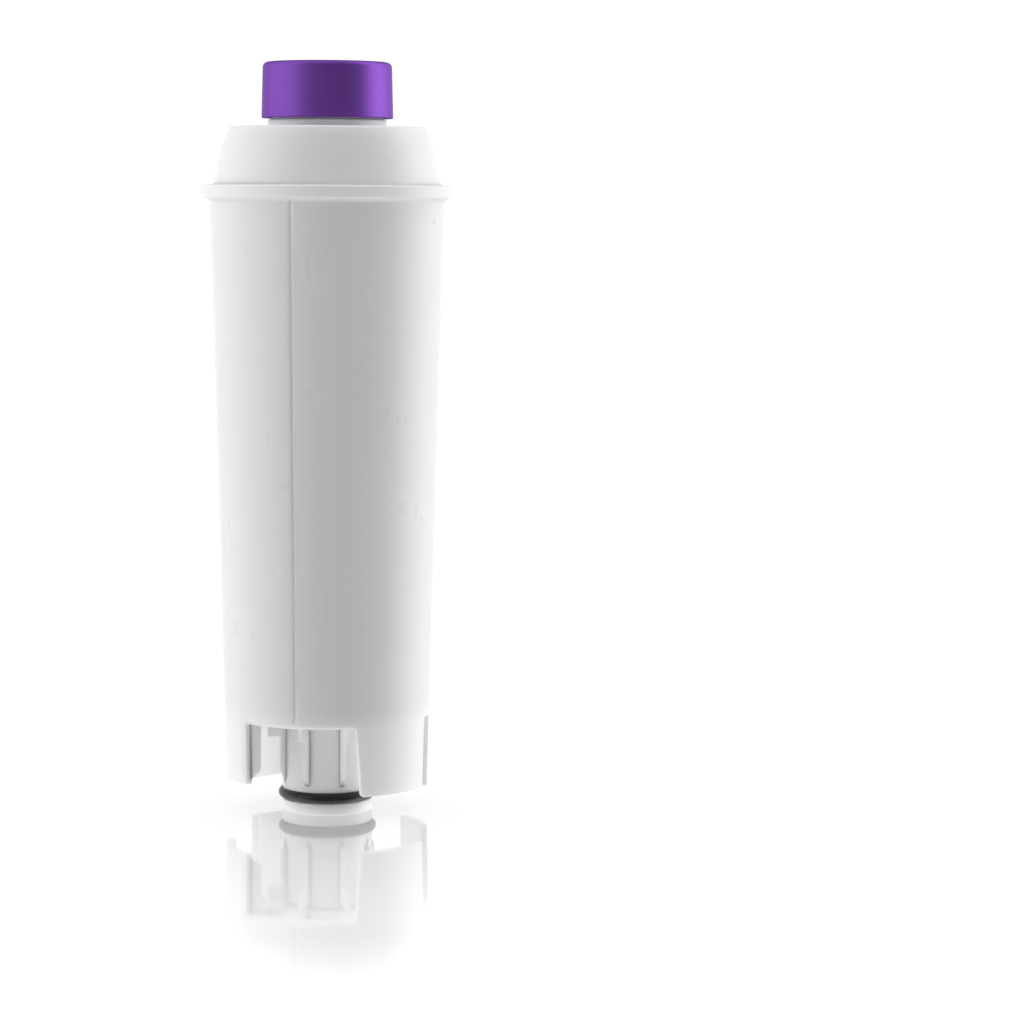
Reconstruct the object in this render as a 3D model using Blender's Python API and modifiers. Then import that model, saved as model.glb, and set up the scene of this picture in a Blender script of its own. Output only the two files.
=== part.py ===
"""A plug-in water filter cartridge for the supply tank of a pump-fed machine.

The cartridge stands upright on its outlet spigot, with +Z up and the origin at the centre of its foot.
Water enters through ports in the floor of the housing, rises through the ion-exchange resin and the carbon,
and runs over the top of the central tube. It leaves downwards through a spring-loaded check valve in the
spigot.
Bearings are measured in degrees from the front, -Y, towards +X.
"""

import math

import bmesh
import bpy

MM = 0.001

# Clearances
CONTACT_GAP = 0.3 * MM  # between pieces that touch or seal when assembled
BOOLEAN_OVERLAP = 0.5 * MM  # how far a joined shape reaches into its neighbour
CUTTER_REACH = 10.0 * MM  # how far a cutter runs past what it cuts
QUARTER_ROUND = 1.0 - math.cos(math.pi / 4)  # bulge of a quarter circle's chord, for a radius of 1

# Housing: the tapered barrel with its rim, floor and skirt
BARREL_TOP_RADIUS = 25.87 * MM
BARREL_LENGTH = 114.4 * MM  # from the floor's underside to the rim's underside
DRAFT_SLOPE = 0.0263  # radius lost for each unit of height, going down
WALL = 1.5 * MM
FLOOR_UNDERSIDE_Z = 21.1 * MM
FLOOR_THICKNESS = 2.0 * MM
RIM_PROUD = 2.13 * MM  # how far the rim stands out from the barrel
RIM_THICKNESS = 2.8 * MM
RIM_EDGE_ROUND = 0.3 * MM
RIM_FILLET_PROUD = 1.4 * MM
RIM_FILLET_HEIGHT = 0.8 * MM
RIM_FILLET_BULGE = 0.16 * MM
SOCKET_COLLAR_HEIGHT = 5.4 * MM
SOCKET_COLLAR_WALL = 1.6 * MM
SEAM_GROOVE_BEARING = -17.7
SEAM_GROOVE_WIDTH = 0.8 * MM
SEAM_GROOVE_DEPTH = 0.35 * MM
SEAM_GROOVE_START = 1.3 * MM  # above the wall's bottom edge

# Skirt: legs left standing between openings, as (from bearing, to bearing, leg's clearance above the foot)
FRONT_RIGHT_LEG = (16.0, 69.0, 6.1 * MM)
REAR_RIGHT_LEG = (95.0, 128.0, 4.4 * MM)
REAR_LEFT_LEG = (197.0, 230.0, 4.4 * MM)
FRONT_LEFT_LEG = (256.0, 309.0, 7.7 * MM)
SKIRT_BOTTOM_Z = 4.4 * MM
LEG_FLARE = 4.0  # degrees that the front opening gains at the foot of its right-hand edge
LEG_SLICE_MARGIN = 8.0  # degrees that a shortening cut runs past its leg
KEY_PLATE_REACH = 4.0 * MM
KEY_PLATE_THICKNESS = 1.1 * MM
KEY_PLATE_LOW_Z = 8.8 * MM
KEY_PLATE_HIGH_Z = 10.4 * MM
KEY_PLATE_INSET = 0.2  # degrees back from the leg's edge

# Inlet ports in the floor
PORT_COUNT = 8
PORT_RIM_WALL = 2.6 * MM
PORT_ANGLE = 26.0

# Top cover: the shouldered dome with its plug and threaded neck
SHOULDER_HEIGHT = 12.6 * MM
SHOULDER_TOP_SETBACK = 4.17 * MM  # from the barrel's top radius, as is the next
SHOULDER_BASE_SETBACK = 0.97 * MM
SHOULDER_BULGE = 0.5 * MM
SHOULDER_FILLET = 0.8 * MM
COVER_WALL = 1.6 * MM
PLUG_LENGTH = 9.1 * MM
PLUG_WALL = 2.9 * MM
PLUG_PLAY = 0.37 * MM
SEAL_GROOVE_DROP = 4.6 * MM  # from the rim's top to the middle of the cover's seal
COLLAR_HEIGHT = 1.6 * MM
COLLAR_PROUD = 0.8 * MM
NECK_RADIUS = 12.2 * MM
NECK_WALL = 2.0 * MM
NECK_EDGE = 0.4 * MM

# Screw cap
CAP_HEIGHT = 12.2 * MM
CAP_WALL = 0.95 * MM
CAP_TOP_THICKNESS = 1.2 * MM
CAP_EDGE_ROUND = 1.1 * MM
CAP_NECK_PLAY = 1.25 * MM  # between the neck's root and the cap's inner wall
CAP_TAPER = 0.3 * MM
CAP_SEAL_THICKNESS = 1.0 * MM

# Thread of neck and cap, right-handed
THREAD_PITCH = 3.0 * MM
THREAD_DEPTH = 0.85 * MM
THREAD_ROOT_WIDTH = 1.2 * MM
THREAD_CREST_WIDTH = 0.7 * MM
NECK_THREAD_TURNS = 1.6
CAP_THREAD_TURNS = 1.2
NECK_THREAD_START_Z = 2.6 * MM  # above the collar
THREAD_START_BEARING = 40.0

# Outlet spigot
SPIGOT_RADIUS = 9.96 * MM
COLUMN_SETBACK = 0.21 * MM
SPIGOT_BORE_RADIUS = 6.2 * MM
SPIGOT_EDGE = 0.45 * MM
SPIGOT_NECK_WALL = 2.6 * MM
SPIGOT_LAND_TOP_Z = 6.2 * MM
VALVE_WEB_Z = 20.0 * MM
VALVE_WEB_THICKNESS = 1.2 * MM
VALVE_WEB_HOLE = 4.0 * MM
O_RING_Z = 3.8 * MM
O_RING_PROUD = 0.94 * MM
O_RING_CORD = 2.3 * MM
FIN_COUNT = 8
FIRST_FIN_BEARING = 19.0
FIN_WIDTH = 0.95 * MM
FIN_PROUD = 1.14 * MM  # from the spigot's radius, as is the gusset's
FIN_FOOT_Z = 5.9 * MM
FIN_TIP_Z = 9.2 * MM
GUSSET_PROUD = 3.84 * MM
GUSSET_FOOT_Z = 16.8 * MM
GUSSET_ROUND = 0.6 * MM
FIN_TOP_SETBACK = 0.4 * MM

# Central tube and its strainer
TUBE_RADIUS = 5.5 * MM
TUBE_WALL = 1.2 * MM
TUBE_ABOVE_GRID = 1.6 * MM
TUBE_SEAL_THICKNESS = 1.0 * MM
STRAINER_THICKNESS = 1.0 * MM
STRAINER_PLUG_LENGTH = 4.0 * MM
STRAINER_PLUG_WALL = 0.8 * MM
STRAINER_SLOTS = 6
STRAINER_SLOT_ANGLE = 40.0
STRAINER_HUB_RADIUS = 1.1 * MM
STRAINER_SLOT_MARGIN = 0.25 * MM

# Filter bed, from the bottom up; the carbon fills what is left
SCREEN_THICKNESS = 0.6 * MM
GRID_THICKNESS = 2.0 * MM
GRID_HUB_WALL = 2.2 * MM
GRID_RIM_WALL = 1.8 * MM
GRID_SLOTS = 12
GRID_SLOT_ANGLE = 20.0
LOWER_FLEECE_THICKNESS = 2.5 * MM
RESIN_DEPTH = 52.0 * MM
SEPARATOR_THICKNESS = 2.0 * MM
UPPER_FLEECE_THICKNESS = 3.0 * MM

# Check valve
VALVE_SEAT_THICKNESS = 1.4 * MM
VALVE_SEAT_HOLE = 3.2 * MM
POPPET_RADIUS = 4.6 * MM
POPPET_THICKNESS = 1.2 * MM
STEM_RADIUS = 1.2 * MM
STEM_LENGTH = 9.3 * MM
CAGE_Z = 6.6 * MM
CAGE_THICKNESS = 2.0 * MM
CAGE_RIM_WALL = 1.0 * MM
CAGE_HUB_WALL = 0.8 * MM
CAGE_SPOKES = 3
CAGE_SPOKE_ANGLE = 30.0
SPRING_WIRE = 0.5 * MM
SPRING_TURNS = 6

# Small seals
COVER_SEAL_CORD = 1.6 * MM
SPIGOT_SEAL_CORD = 1.4 * MM

# Facets
LARGE_STEPS = 48
SPIGOT_STEPS = 40
SMALL_STEPS = 32
THREAD_STEPS_PER_TURN = 24
LARGE_SEAL_SIDES = 10
SMALL_SEAL_SIDES = 6
WIRE_POINTS_PER_TURN = 10
OPENING_STEPS = 8
PORT_STEPS = 3

# Levels and radii worked out from the sizes above
FLOOR_TOP_Z = FLOOR_UNDERSIDE_Z + FLOOR_THICKNESS
RIM_UNDERSIDE_Z = FLOOR_UNDERSIDE_Z + BARREL_LENGTH
RIM_TOP_Z = RIM_UNDERSIDE_Z + RIM_THICKNESS
RIM_RADIUS = BARREL_TOP_RADIUS + RIM_PROUD
MOUTH_RADIUS = BARREL_TOP_RADIUS - WALL
SOCKET_COLLAR_TOP_Z = FLOOR_TOP_Z + SOCKET_COLLAR_HEIGHT
TUBE_SOCKET_RADIUS = TUBE_RADIUS + CONTACT_GAP
SPIGOT_NECK_RADIUS = TUBE_SOCKET_RADIUS + SPIGOT_NECK_WALL
SOCKET_HOLE_RADIUS = SPIGOT_NECK_RADIUS + CONTACT_GAP
SOCKET_COLLAR_RADIUS = SOCKET_HOLE_RADIUS + SOCKET_COLLAR_WALL

COVER_BASE_Z = RIM_TOP_Z + CONTACT_GAP
SHOULDER_TOP_Z = RIM_TOP_Z + SHOULDER_HEIGHT
COLLAR_TOP_Z = SHOULDER_TOP_Z + COLLAR_HEIGHT
SHOULDER_TOP_RADIUS = BARREL_TOP_RADIUS - SHOULDER_TOP_SETBACK
COLLAR_RADIUS = NECK_RADIUS + COLLAR_PROUD
NECK_BORE_RADIUS = NECK_RADIUS - NECK_WALL
PLUG_BOTTOM_Z = COVER_BASE_Z - PLUG_LENGTH
COVER_SEAL_Z = RIM_TOP_Z - SEAL_GROOVE_DROP

CAP_BOTTOM_Z = COLLAR_TOP_Z + CONTACT_GAP
CAP_TOP_Z = CAP_BOTTOM_Z + CAP_HEIGHT
CAP_CEILING_Z = CAP_TOP_Z - CAP_TOP_THICKNESS
CAP_INNER_RADIUS = NECK_RADIUS + CAP_NECK_PLAY
CAP_RADIUS = CAP_INNER_RADIUS + CAP_WALL
CAP_SEAL_TOP_Z = CAP_CEILING_Z - CONTACT_GAP
NECK_TOP_Z = CAP_SEAL_TOP_Z - CAP_SEAL_THICKNESS - CONTACT_GAP

SPIGOT_SHOULDER_Z = FLOOR_UNDERSIDE_Z - CONTACT_GAP
SPIGOT_TOP_Z = SOCKET_COLLAR_TOP_Z
SPIGOT_SEAL_Z = (FLOOR_TOP_Z + SOCKET_COLLAR_TOP_Z) / 2
SPIGOT_COLUMN_RADIUS = SPIGOT_RADIUS - COLUMN_SETBACK
O_RING_RADIUS = SPIGOT_RADIUS + O_RING_PROUD
FIN_RADIUS = SPIGOT_RADIUS + FIN_PROUD
GUSSET_RADIUS = SPIGOT_RADIUS + GUSSET_PROUD
TUBE_SEAL_Z = VALVE_WEB_Z + VALVE_WEB_THICKNESS + CONTACT_GAP
TUBE_BOTTOM_Z = TUBE_SEAL_Z + TUBE_SEAL_THICKNESS + CONTACT_GAP
TUBE_BORE_RADIUS = TUBE_RADIUS - TUBE_WALL

SCREEN_Z = FLOOR_TOP_Z + CONTACT_GAP
LOWER_GRID_Z = SOCKET_COLLAR_TOP_Z + CONTACT_GAP
LOWER_FLEECE_Z = LOWER_GRID_Z + GRID_THICKNESS + CONTACT_GAP
RESIN_Z = LOWER_FLEECE_Z + LOWER_FLEECE_THICKNESS + CONTACT_GAP
SEPARATOR_Z = RESIN_Z + RESIN_DEPTH + CONTACT_GAP
CARBON_Z = SEPARATOR_Z + SEPARATOR_THICKNESS + CONTACT_GAP
UPPER_GRID_Z = PLUG_BOTTOM_Z - CONTACT_GAP - GRID_THICKNESS
UPPER_FLEECE_Z = UPPER_GRID_Z - CONTACT_GAP - UPPER_FLEECE_THICKNESS
CARBON_DEPTH = UPPER_FLEECE_Z - CONTACT_GAP - CARBON_Z
TUBE_TOP_Z = UPPER_GRID_Z + GRID_THICKNESS + TUBE_ABOVE_GRID

INSERT_RADIUS = SPIGOT_BORE_RADIUS - CONTACT_GAP  # seat and cage, held in the spigot's bore
VALVE_SEAT_Z = VALVE_WEB_Z - CONTACT_GAP - VALVE_SEAT_THICKNESS
POPPET_TOP_Z = VALVE_SEAT_Z - CONTACT_GAP
POPPET_UNDERSIDE_Z = POPPET_TOP_Z - POPPET_THICKNESS
GUIDE_RADIUS = STEM_RADIUS + CONTACT_GAP
SPRING_RADIUS = GUIDE_RADIUS + CAGE_HUB_WALL / 2
SPRING_BOTTOM_Z = CAGE_Z + CAGE_THICKNESS + CONTACT_GAP
SPRING_TOP_Z = POPPET_UNDERSIDE_Z - CONTACT_GAP


def new_collection(name):
    collection = bpy.data.collections.new(name)
    bpy.context.scene.collection.children.link(collection)
    return collection


def plastic(name, color, roughness, metallic=0.0):
    """A Principled material in one colour."""
    material = bpy.data.materials.new(name)
    material.use_nodes = True
    shader = material.node_tree.nodes["Principled BSDF"]
    shader.inputs["Base Color"].default_value = (*color, 1.0)
    shader.inputs["Roughness"].default_value = roughness
    shader.inputs["Metallic"].default_value = metallic
    return material


def place(name, data, material, collection):
    """Puts mesh or curve data into a collection as a named object."""
    piece = bpy.data.objects.new(name, data)
    data.materials.append(material)
    collection.objects.link(piece)
    return piece


def barrel_radius(z):
    """The housing's outer radius at a height, along its draft."""
    return BARREL_TOP_RADIUS - DRAFT_SLOPE * (RIM_UNDERSIDE_Z - z)


def bed_radius(z):
    """The radius that fits inside the housing's wall at a height."""
    return barrel_radius(z) - WALL - CONTACT_GAP


def at_bearing(radius, bearing, z):
    angle = math.radians(bearing)
    return (radius * math.sin(angle), -radius * math.cos(angle), z)


def arc(start, end, bulge, count):
    """The points between start and end on an arc that stands out by bulge, to the left of its run."""
    chord = math.dist(start, end)
    radius = (chord * chord / 4 + bulge * bulge) / (2 * abs(bulge))
    half = math.asin(chord / (2 * radius))
    along = ((end[0] - start[0]) / chord, (end[1] - start[1]) / chord)
    side = math.copysign(1.0, bulge)
    normal = (-along[1] * side, along[0] * side)
    points = []
    for step in range(1, count + 1):
        turn = -half + 2 * half * step / (count + 1)
        run = chord / 2 + radius * math.sin(turn)
        rise = radius * (math.cos(turn) - math.cos(half))
        points.append(tuple(start[i] + along[i] * run + normal[i] * rise for i in range(2)))
    return points


def turned(name, profile, material, collection, steps, closed=True):
    """A profile of (radius, height) points, run clockwise, turned about the vertical axis."""
    mesh = bpy.data.meshes.new(name)
    edges = [(i, i + 1) for i in range(len(profile) - 1)]
    if closed:
        edges.append((len(profile) - 1, 0))
    points = [(radius, 0.0, z) for radius, z in profile]
    mesh.from_pydata(points, edges, [])
    piece = place(name, mesh, material, collection)
    screw = piece.modifiers.new("turn", "SCREW")
    screw.axis = "Z"
    screw.angle = 2 * math.pi
    screw.steps = steps
    screw.render_steps = steps
    screw.use_merge_vertices = True
    screw.merge_threshold = 1e-6
    screw.use_smooth_shade = False
    return piece


def swept(name, profile, bearings, steps, rise=0.0, flare=0.0):
    """A closed (radius, height) outline swept from one bearing to another, climbing by rise on the way.

    Flare is the angle that the far side gains at the outline's lowest point, and loses towards its highest.
    """
    start, end = bearings
    shape = bmesh.new()
    face = shape.faces.new([shape.verts.new(at_bearing(radius, start, z)) for radius, z in profile])
    bmesh.ops.spin(
        shape,
        geom=[face, *face.verts, *face.edges],
        cent=(0.0, 0.0, 0.0),
        axis=(0.0, 0.0, 1.0),
        dvec=(0.0, 0.0, rise / steps),
        angle=math.radians(end - start),
        steps=steps,
        use_duplicate=False,
    )
    if flare:
        low = min(z for _, z in profile)
        height = max(z for _, z in profile) - low
        for vert in shape.verts:
            bearing = math.degrees(math.atan2(vert.co.x, -vert.co.y))
            share = ((bearing - start + 1.0) % 360.0 - 1.0) / (end - start)
            moved = bearing + flare * share * (1.0 - (vert.co.z - low) / height)
            vert.co = at_bearing(math.hypot(vert.co.x, vert.co.y), moved, vert.co.z)
    bmesh.ops.recalc_face_normals(shape, faces=shape.faces)
    mesh = bpy.data.meshes.new(name)
    shape.to_mesh(mesh)
    shape.free()
    return mesh


def tool(name, mesh, tools):
    """A shape that a Boolean cuts or joins with. It isn't a piece of the object."""
    shape = bpy.data.objects.new(name, mesh)
    shape.hide_render = True
    shape.display_type = "WIRE"
    tools.objects.link(shape)
    return shape


def combine(piece, shapes, operation):
    """Cuts or joins each shape, one exact Boolean at a time."""
    for shape in shapes:
        step = piece.modifiers.new(shape.name, "BOOLEAN")
        step.operation = operation
        step.solver = "EXACT"
        step.object = shape


def circle(radius, count):
    return [at_bearing(radius, 360.0 * i / count, 0.0)[:2] for i in range(count)]


def slot(inner, outer, middle, angle, count):
    """The outline of a ring-shaped slot, centred on a bearing."""
    bearings = [middle - angle / 2 + angle * i / (count - 1) for i in range(count)]
    outside = [at_bearing(outer, bearing, 0.0)[:2] for bearing in bearings]
    inside = [at_bearing(inner, bearing, 0.0)[:2] for bearing in reversed(bearings)]
    return outside + inside


def plate(name, outlines, base_z, thickness, material, collection):
    """A flat plate: the first outline is its edge and the others are its holes."""
    curve = bpy.data.curves.new(name, "CURVE")
    curve.dimensions = "2D"
    curve.fill_mode = "BOTH"
    curve.extrude = thickness / 2
    for outline in outlines:
        spline = curve.splines.new("POLY")
        spline.points.add(len(outline) - 1)
        for point, (x, y) in zip(spline.points, outline):
            point.co = (x, y, 0.0, 1.0)
        spline.use_cyclic_u = True
    piece = place(name, curve, material, collection)
    piece.location.z = base_z + thickness / 2
    return piece


def ring(name, inner, outer, base_z, top_z, material, collection, steps=SMALL_STEPS):
    """A flat ring or tube; outer may be a pair, the radius at the base and at the top."""
    low, high = outer if isinstance(outer, tuple) else (outer, outer)
    profile = [(inner, top_z), (high, top_z), (low, base_z), (inner, base_z)]
    return turned(name, profile, material, collection, steps)


def seal(name, outer, cord, middle_z, sides, steps, material, collection):
    """An O-ring of a given outer radius and cord."""
    middle = outer - cord / 2
    angles = [math.pi / 2 - 2 * math.pi * i / sides for i in range(sides)]
    profile = [(middle + cord / 2 * math.cos(a), middle_z + cord / 2 * math.sin(a)) for a in angles]
    return turned(name, profile, material, collection, steps)


def groove(outer, seal_outer, cord, middle_z):
    """The four corners of a seal's groove in an outer wall, top to bottom."""
    root = seal_outer - cord - CONTACT_GAP
    half = cord / 2 + CONTACT_GAP
    top = middle_z + half
    bottom = middle_z - half
    return [(outer, top), (root, top), (root, bottom), (outer, bottom)]


def thread_outline(root, crest):
    """The outline of a thread ridge at height 0, from inside the wall at root to its crest."""
    foot = THREAD_ROOT_WIDTH / 2
    tip = THREAD_CREST_WIDTH / 2
    return [(root, foot), (crest, tip), (crest, -tip), (root, -foot)]


def thread_ridge(name, root, crest, turns, start_z):
    outline = [(radius, z + start_z) for radius, z in thread_outline(root, crest)]
    steps = round(turns * THREAD_STEPS_PER_TURN)
    bearings = (THREAD_START_BEARING, THREAD_START_BEARING + 360.0 * turns)
    return swept(name, outline, bearings, steps, rise=THREAD_PITCH * turns)


def housing_profile():
    """The tapered barrel, its rim and the uncut skirt, as one outline."""
    skirt_radius = barrel_radius(SKIRT_BOTTOM_Z)
    fillet_z = RIM_UNDERSIDE_Z - RIM_FILLET_HEIGHT
    fillet_top = (barrel_radius(RIM_UNDERSIDE_Z) + RIM_FILLET_PROUD, RIM_UNDERSIDE_Z)
    fillet_end = (barrel_radius(fillet_z), fillet_z)
    return [
        (MOUTH_RADIUS, RIM_TOP_Z),
        (RIM_RADIUS - RIM_EDGE_ROUND, RIM_TOP_Z),
        (RIM_RADIUS, RIM_TOP_Z - RIM_EDGE_ROUND),
        (RIM_RADIUS, RIM_UNDERSIDE_Z + RIM_EDGE_ROUND),
        (RIM_RADIUS - RIM_EDGE_ROUND, RIM_UNDERSIDE_Z),
        fillet_top,
        *arc(fillet_top, fillet_end, -RIM_FILLET_BULGE, 1),
        fillet_end,
        (skirt_radius, SKIRT_BOTTOM_Z),
        (skirt_radius - WALL, SKIRT_BOTTOM_Z),
        (barrel_radius(FLOOR_UNDERSIDE_Z) - WALL, FLOOR_UNDERSIDE_Z),
        (SOCKET_HOLE_RADIUS, FLOOR_UNDERSIDE_Z),
        (SOCKET_HOLE_RADIUS, SOCKET_COLLAR_TOP_Z),
        (SOCKET_COLLAR_RADIUS, SOCKET_COLLAR_TOP_Z),
        (SOCKET_COLLAR_RADIUS, FLOOR_TOP_Z),
        (barrel_radius(FLOOR_TOP_Z) - WALL, FLOOR_TOP_Z),
        (barrel_radius(RIM_UNDERSIDE_Z) - WALL, RIM_UNDERSIDE_Z),
    ]


def skirt_cutters():
    """The openings between the legs, and the slices that shorten three of the legs."""
    inside = SPIGOT_RADIUS
    outside = RIM_RADIUS + CUTTER_REACH
    below = -CUTTER_REACH
    roof = FLOOR_UNDERSIDE_Z
    legs = [FRONT_RIGHT_LEG, REAR_RIGHT_LEG, REAR_LEFT_LEG, FRONT_LEFT_LEG]
    cutters = []
    for number, (leg_start, leg_end, clearance) in enumerate(legs):
        start = legs[number - 1][1] % 360.0
        end = leg_start if leg_start > start else leg_start + 360.0
        outline = [(inside, roof), (outside, roof), (outside, below), (inside, below)]
        flare = LEG_FLARE * (roof - below) / (roof - SKIRT_BOTTOM_Z) if number == 0 else 0.0
        cutters.append(swept(f"opening_{number}", outline, (start, end), OPENING_STEPS, flare=flare))
        if clearance > SKIRT_BOTTOM_Z:
            outline = [(inside, clearance), (outside, clearance), (outside, below), (inside, below)]
            across = (leg_start - LEG_SLICE_MARGIN, leg_end + LEG_SLICE_MARGIN)
            cutters.append(swept(f"shortening_{number}", outline, across, OPENING_STEPS))
    return cutters


def port_cutters():
    below = FLOOR_UNDERSIDE_Z - FLOOR_THICKNESS
    above = FLOOR_TOP_Z + FLOOR_THICKNESS
    inner = GUSSET_RADIUS + CONTACT_GAP
    outer = barrel_radius(FLOOR_UNDERSIDE_Z) - WALL - PORT_RIM_WALL
    outline = [(inner, above), (outer, above), (outer, below), (inner, below)]
    ports = []
    for number in range(PORT_COUNT):
        middle = FIRST_FIN_BEARING + 360.0 * (number + 0.5) / PORT_COUNT
        across = (middle - PORT_ANGLE / 2, middle + PORT_ANGLE / 2)
        ports.append(swept(f"port_{number}", outline, across, PORT_STEPS))
    return ports


def seam_groove():
    """The cutter for the thin groove that runs up the barrel from the skirt's opening to the rim's fillet."""
    low = FLOOR_UNDERSIDE_Z + SEAM_GROOVE_START
    high = RIM_UNDERSIDE_Z - RIM_FILLET_HEIGHT
    outline = [
        (barrel_radius(high) - SEAM_GROOVE_DEPTH, high),
        (barrel_radius(high) + BOOLEAN_OVERLAP, high),
        (barrel_radius(low) + BOOLEAN_OVERLAP, low),
        (barrel_radius(low) - SEAM_GROOVE_DEPTH, low),
    ]
    half = math.degrees(SEAM_GROOVE_WIDTH / BARREL_TOP_RADIUS) / 2
    return swept("seam_groove", outline, (SEAM_GROOVE_BEARING - half, SEAM_GROOVE_BEARING + half), 1)


def key_plate():
    """The inward plate on the front left leg, beside the front opening."""
    high = FLOOR_UNDERSIDE_Z + FLOOR_THICKNESS / 2
    wall_inside = barrel_radius(KEY_PLATE_LOW_Z) - WALL
    tip = barrel_radius(KEY_PLATE_LOW_Z) - KEY_PLATE_REACH
    outline = [
        (tip, high),
        (wall_inside + BOOLEAN_OVERLAP, high),
        (wall_inside + BOOLEAN_OVERLAP, KEY_PLATE_LOW_Z),
        (wall_inside - BOOLEAN_OVERLAP, KEY_PLATE_LOW_Z),
        (tip, KEY_PLATE_HIGH_Z),
    ]
    edge = FRONT_LEFT_LEG[1]
    width = math.degrees(KEY_PLATE_THICKNESS / tip)
    return swept("key_plate", outline, (edge - width, edge - KEY_PLATE_INSET), 1)


def make_housing(material, parts, tools):
    housing = turned("housing", housing_profile(), material, parts, LARGE_STEPS)
    cuts = [*skirt_cutters(), *port_cutters(), seam_groove()]
    combine(housing, [tool(mesh.name, mesh, tools) for mesh in cuts], "DIFFERENCE")
    plate = key_plate()
    combine(housing, [tool(plate.name, plate, tools)], "UNION")


def cover_profile():
    """The shouldered cover with its neck above and its plug below, as one outline."""
    base_radius = BARREL_TOP_RADIUS - SHOULDER_BASE_SETBACK
    top = (SHOULDER_TOP_RADIUS, SHOULDER_TOP_Z)
    base = (base_radius, COVER_BASE_Z + SHOULDER_FILLET)
    foot = (base_radius + SHOULDER_FILLET, COVER_BASE_Z)
    plug_radius = barrel_radius(PLUG_BOTTOM_Z) - WALL - PLUG_PLAY
    seal_outer = barrel_radius(COVER_SEAL_Z) - WALL - CONTACT_GAP
    inner_radius = plug_radius - PLUG_WALL
    ceiling_z = SHOULDER_TOP_Z - COVER_WALL
    return [
        (NECK_BORE_RADIUS, NECK_TOP_Z),
        (NECK_RADIUS - NECK_EDGE, NECK_TOP_Z),
        (NECK_RADIUS, NECK_TOP_Z - NECK_EDGE),
        (NECK_RADIUS, COLLAR_TOP_Z),
        (COLLAR_RADIUS, COLLAR_TOP_Z),
        (COLLAR_RADIUS, SHOULDER_TOP_Z),
        top,
        *arc(top, base, SHOULDER_BULGE, 4),
        base,
        *arc(base, foot, -QUARTER_ROUND * SHOULDER_FILLET, 2),
        foot,
        (plug_radius, COVER_BASE_Z),
        *groove(plug_radius, seal_outer, COVER_SEAL_CORD, COVER_SEAL_Z),
        (plug_radius, PLUG_BOTTOM_Z),
        (inner_radius, PLUG_BOTTOM_Z),
        (inner_radius, ceiling_z - COVER_WALL),
        (inner_radius - COVER_WALL, ceiling_z),
        (NECK_BORE_RADIUS, ceiling_z),
    ]


def make_top_cover(material, parts, tools):
    cover = turned("top_cover", cover_profile(), material, parts, LARGE_STEPS)
    ridge = thread_ridge(
        "neck_thread",
        NECK_RADIUS - BOOLEAN_OVERLAP / 2,
        NECK_RADIUS + THREAD_DEPTH,
        NECK_THREAD_TURNS,
        COLLAR_TOP_Z + NECK_THREAD_START_Z,
    )
    combine(cover, [tool("neck_thread", ridge, tools)], "UNION")


def make_screw_cap(material, parts, tools):
    top = (CAP_RADIUS - CAP_TAPER - CAP_EDGE_ROUND, CAP_TOP_Z)
    side = (CAP_RADIUS - CAP_TAPER, CAP_TOP_Z - CAP_EDGE_ROUND)
    profile = [
        (0.0, CAP_TOP_Z),
        top,
        *arc(top, side, QUARTER_ROUND * CAP_EDGE_ROUND, 2),
        side,
        (CAP_RADIUS, CAP_BOTTOM_Z),
        (CAP_INNER_RADIUS, CAP_BOTTOM_Z),
        (CAP_INNER_RADIUS, CAP_CEILING_Z),
        (0.0, CAP_CEILING_Z),
    ]
    cap = turned("screw_cap", profile, material, parts, LARGE_STEPS, closed=False)
    ridge = thread_ridge(
        "cap_thread",
        CAP_INNER_RADIUS + BOOLEAN_OVERLAP / 2,
        CAP_INNER_RADIUS - THREAD_DEPTH,
        CAP_THREAD_TURNS,
        COLLAR_TOP_Z + NECK_THREAD_START_Z - THREAD_PITCH / 2,
    )
    combine(cap, [tool("cap_thread", ridge, tools)], "UNION")


def spigot_profile():
    """The outlet spigot: foot, O-ring groove, column, neck, and the bore with its valve web."""
    seal_outer = SOCKET_HOLE_RADIUS - CONTACT_GAP
    return [
        (TUBE_SOCKET_RADIUS, SPIGOT_TOP_Z),
        (SPIGOT_NECK_RADIUS - SPIGOT_EDGE, SPIGOT_TOP_Z),
        (SPIGOT_NECK_RADIUS, SPIGOT_TOP_Z - SPIGOT_EDGE),
        *groove(SPIGOT_NECK_RADIUS, seal_outer, SPIGOT_SEAL_CORD, SPIGOT_SEAL_Z),
        (SPIGOT_NECK_RADIUS, SPIGOT_SHOULDER_Z),
        (SPIGOT_COLUMN_RADIUS, SPIGOT_SHOULDER_Z),
        (SPIGOT_COLUMN_RADIUS, SPIGOT_LAND_TOP_Z),
        (SPIGOT_RADIUS, SPIGOT_LAND_TOP_Z),
        *groove(SPIGOT_RADIUS, O_RING_RADIUS, O_RING_CORD, O_RING_Z),
        (SPIGOT_RADIUS, SPIGOT_EDGE),
        (SPIGOT_RADIUS - SPIGOT_EDGE, 0.0),
        (SPIGOT_BORE_RADIUS + SPIGOT_EDGE, 0.0),
        (SPIGOT_BORE_RADIUS, SPIGOT_EDGE),
        (SPIGOT_BORE_RADIUS, VALVE_WEB_Z),
        (VALVE_WEB_HOLE, VALVE_WEB_Z),
        (VALVE_WEB_HOLE, VALVE_WEB_Z + VALVE_WEB_THICKNESS),
        (TUBE_SOCKET_RADIUS, VALVE_WEB_Z + VALVE_WEB_THICKNESS),
    ]


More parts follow.
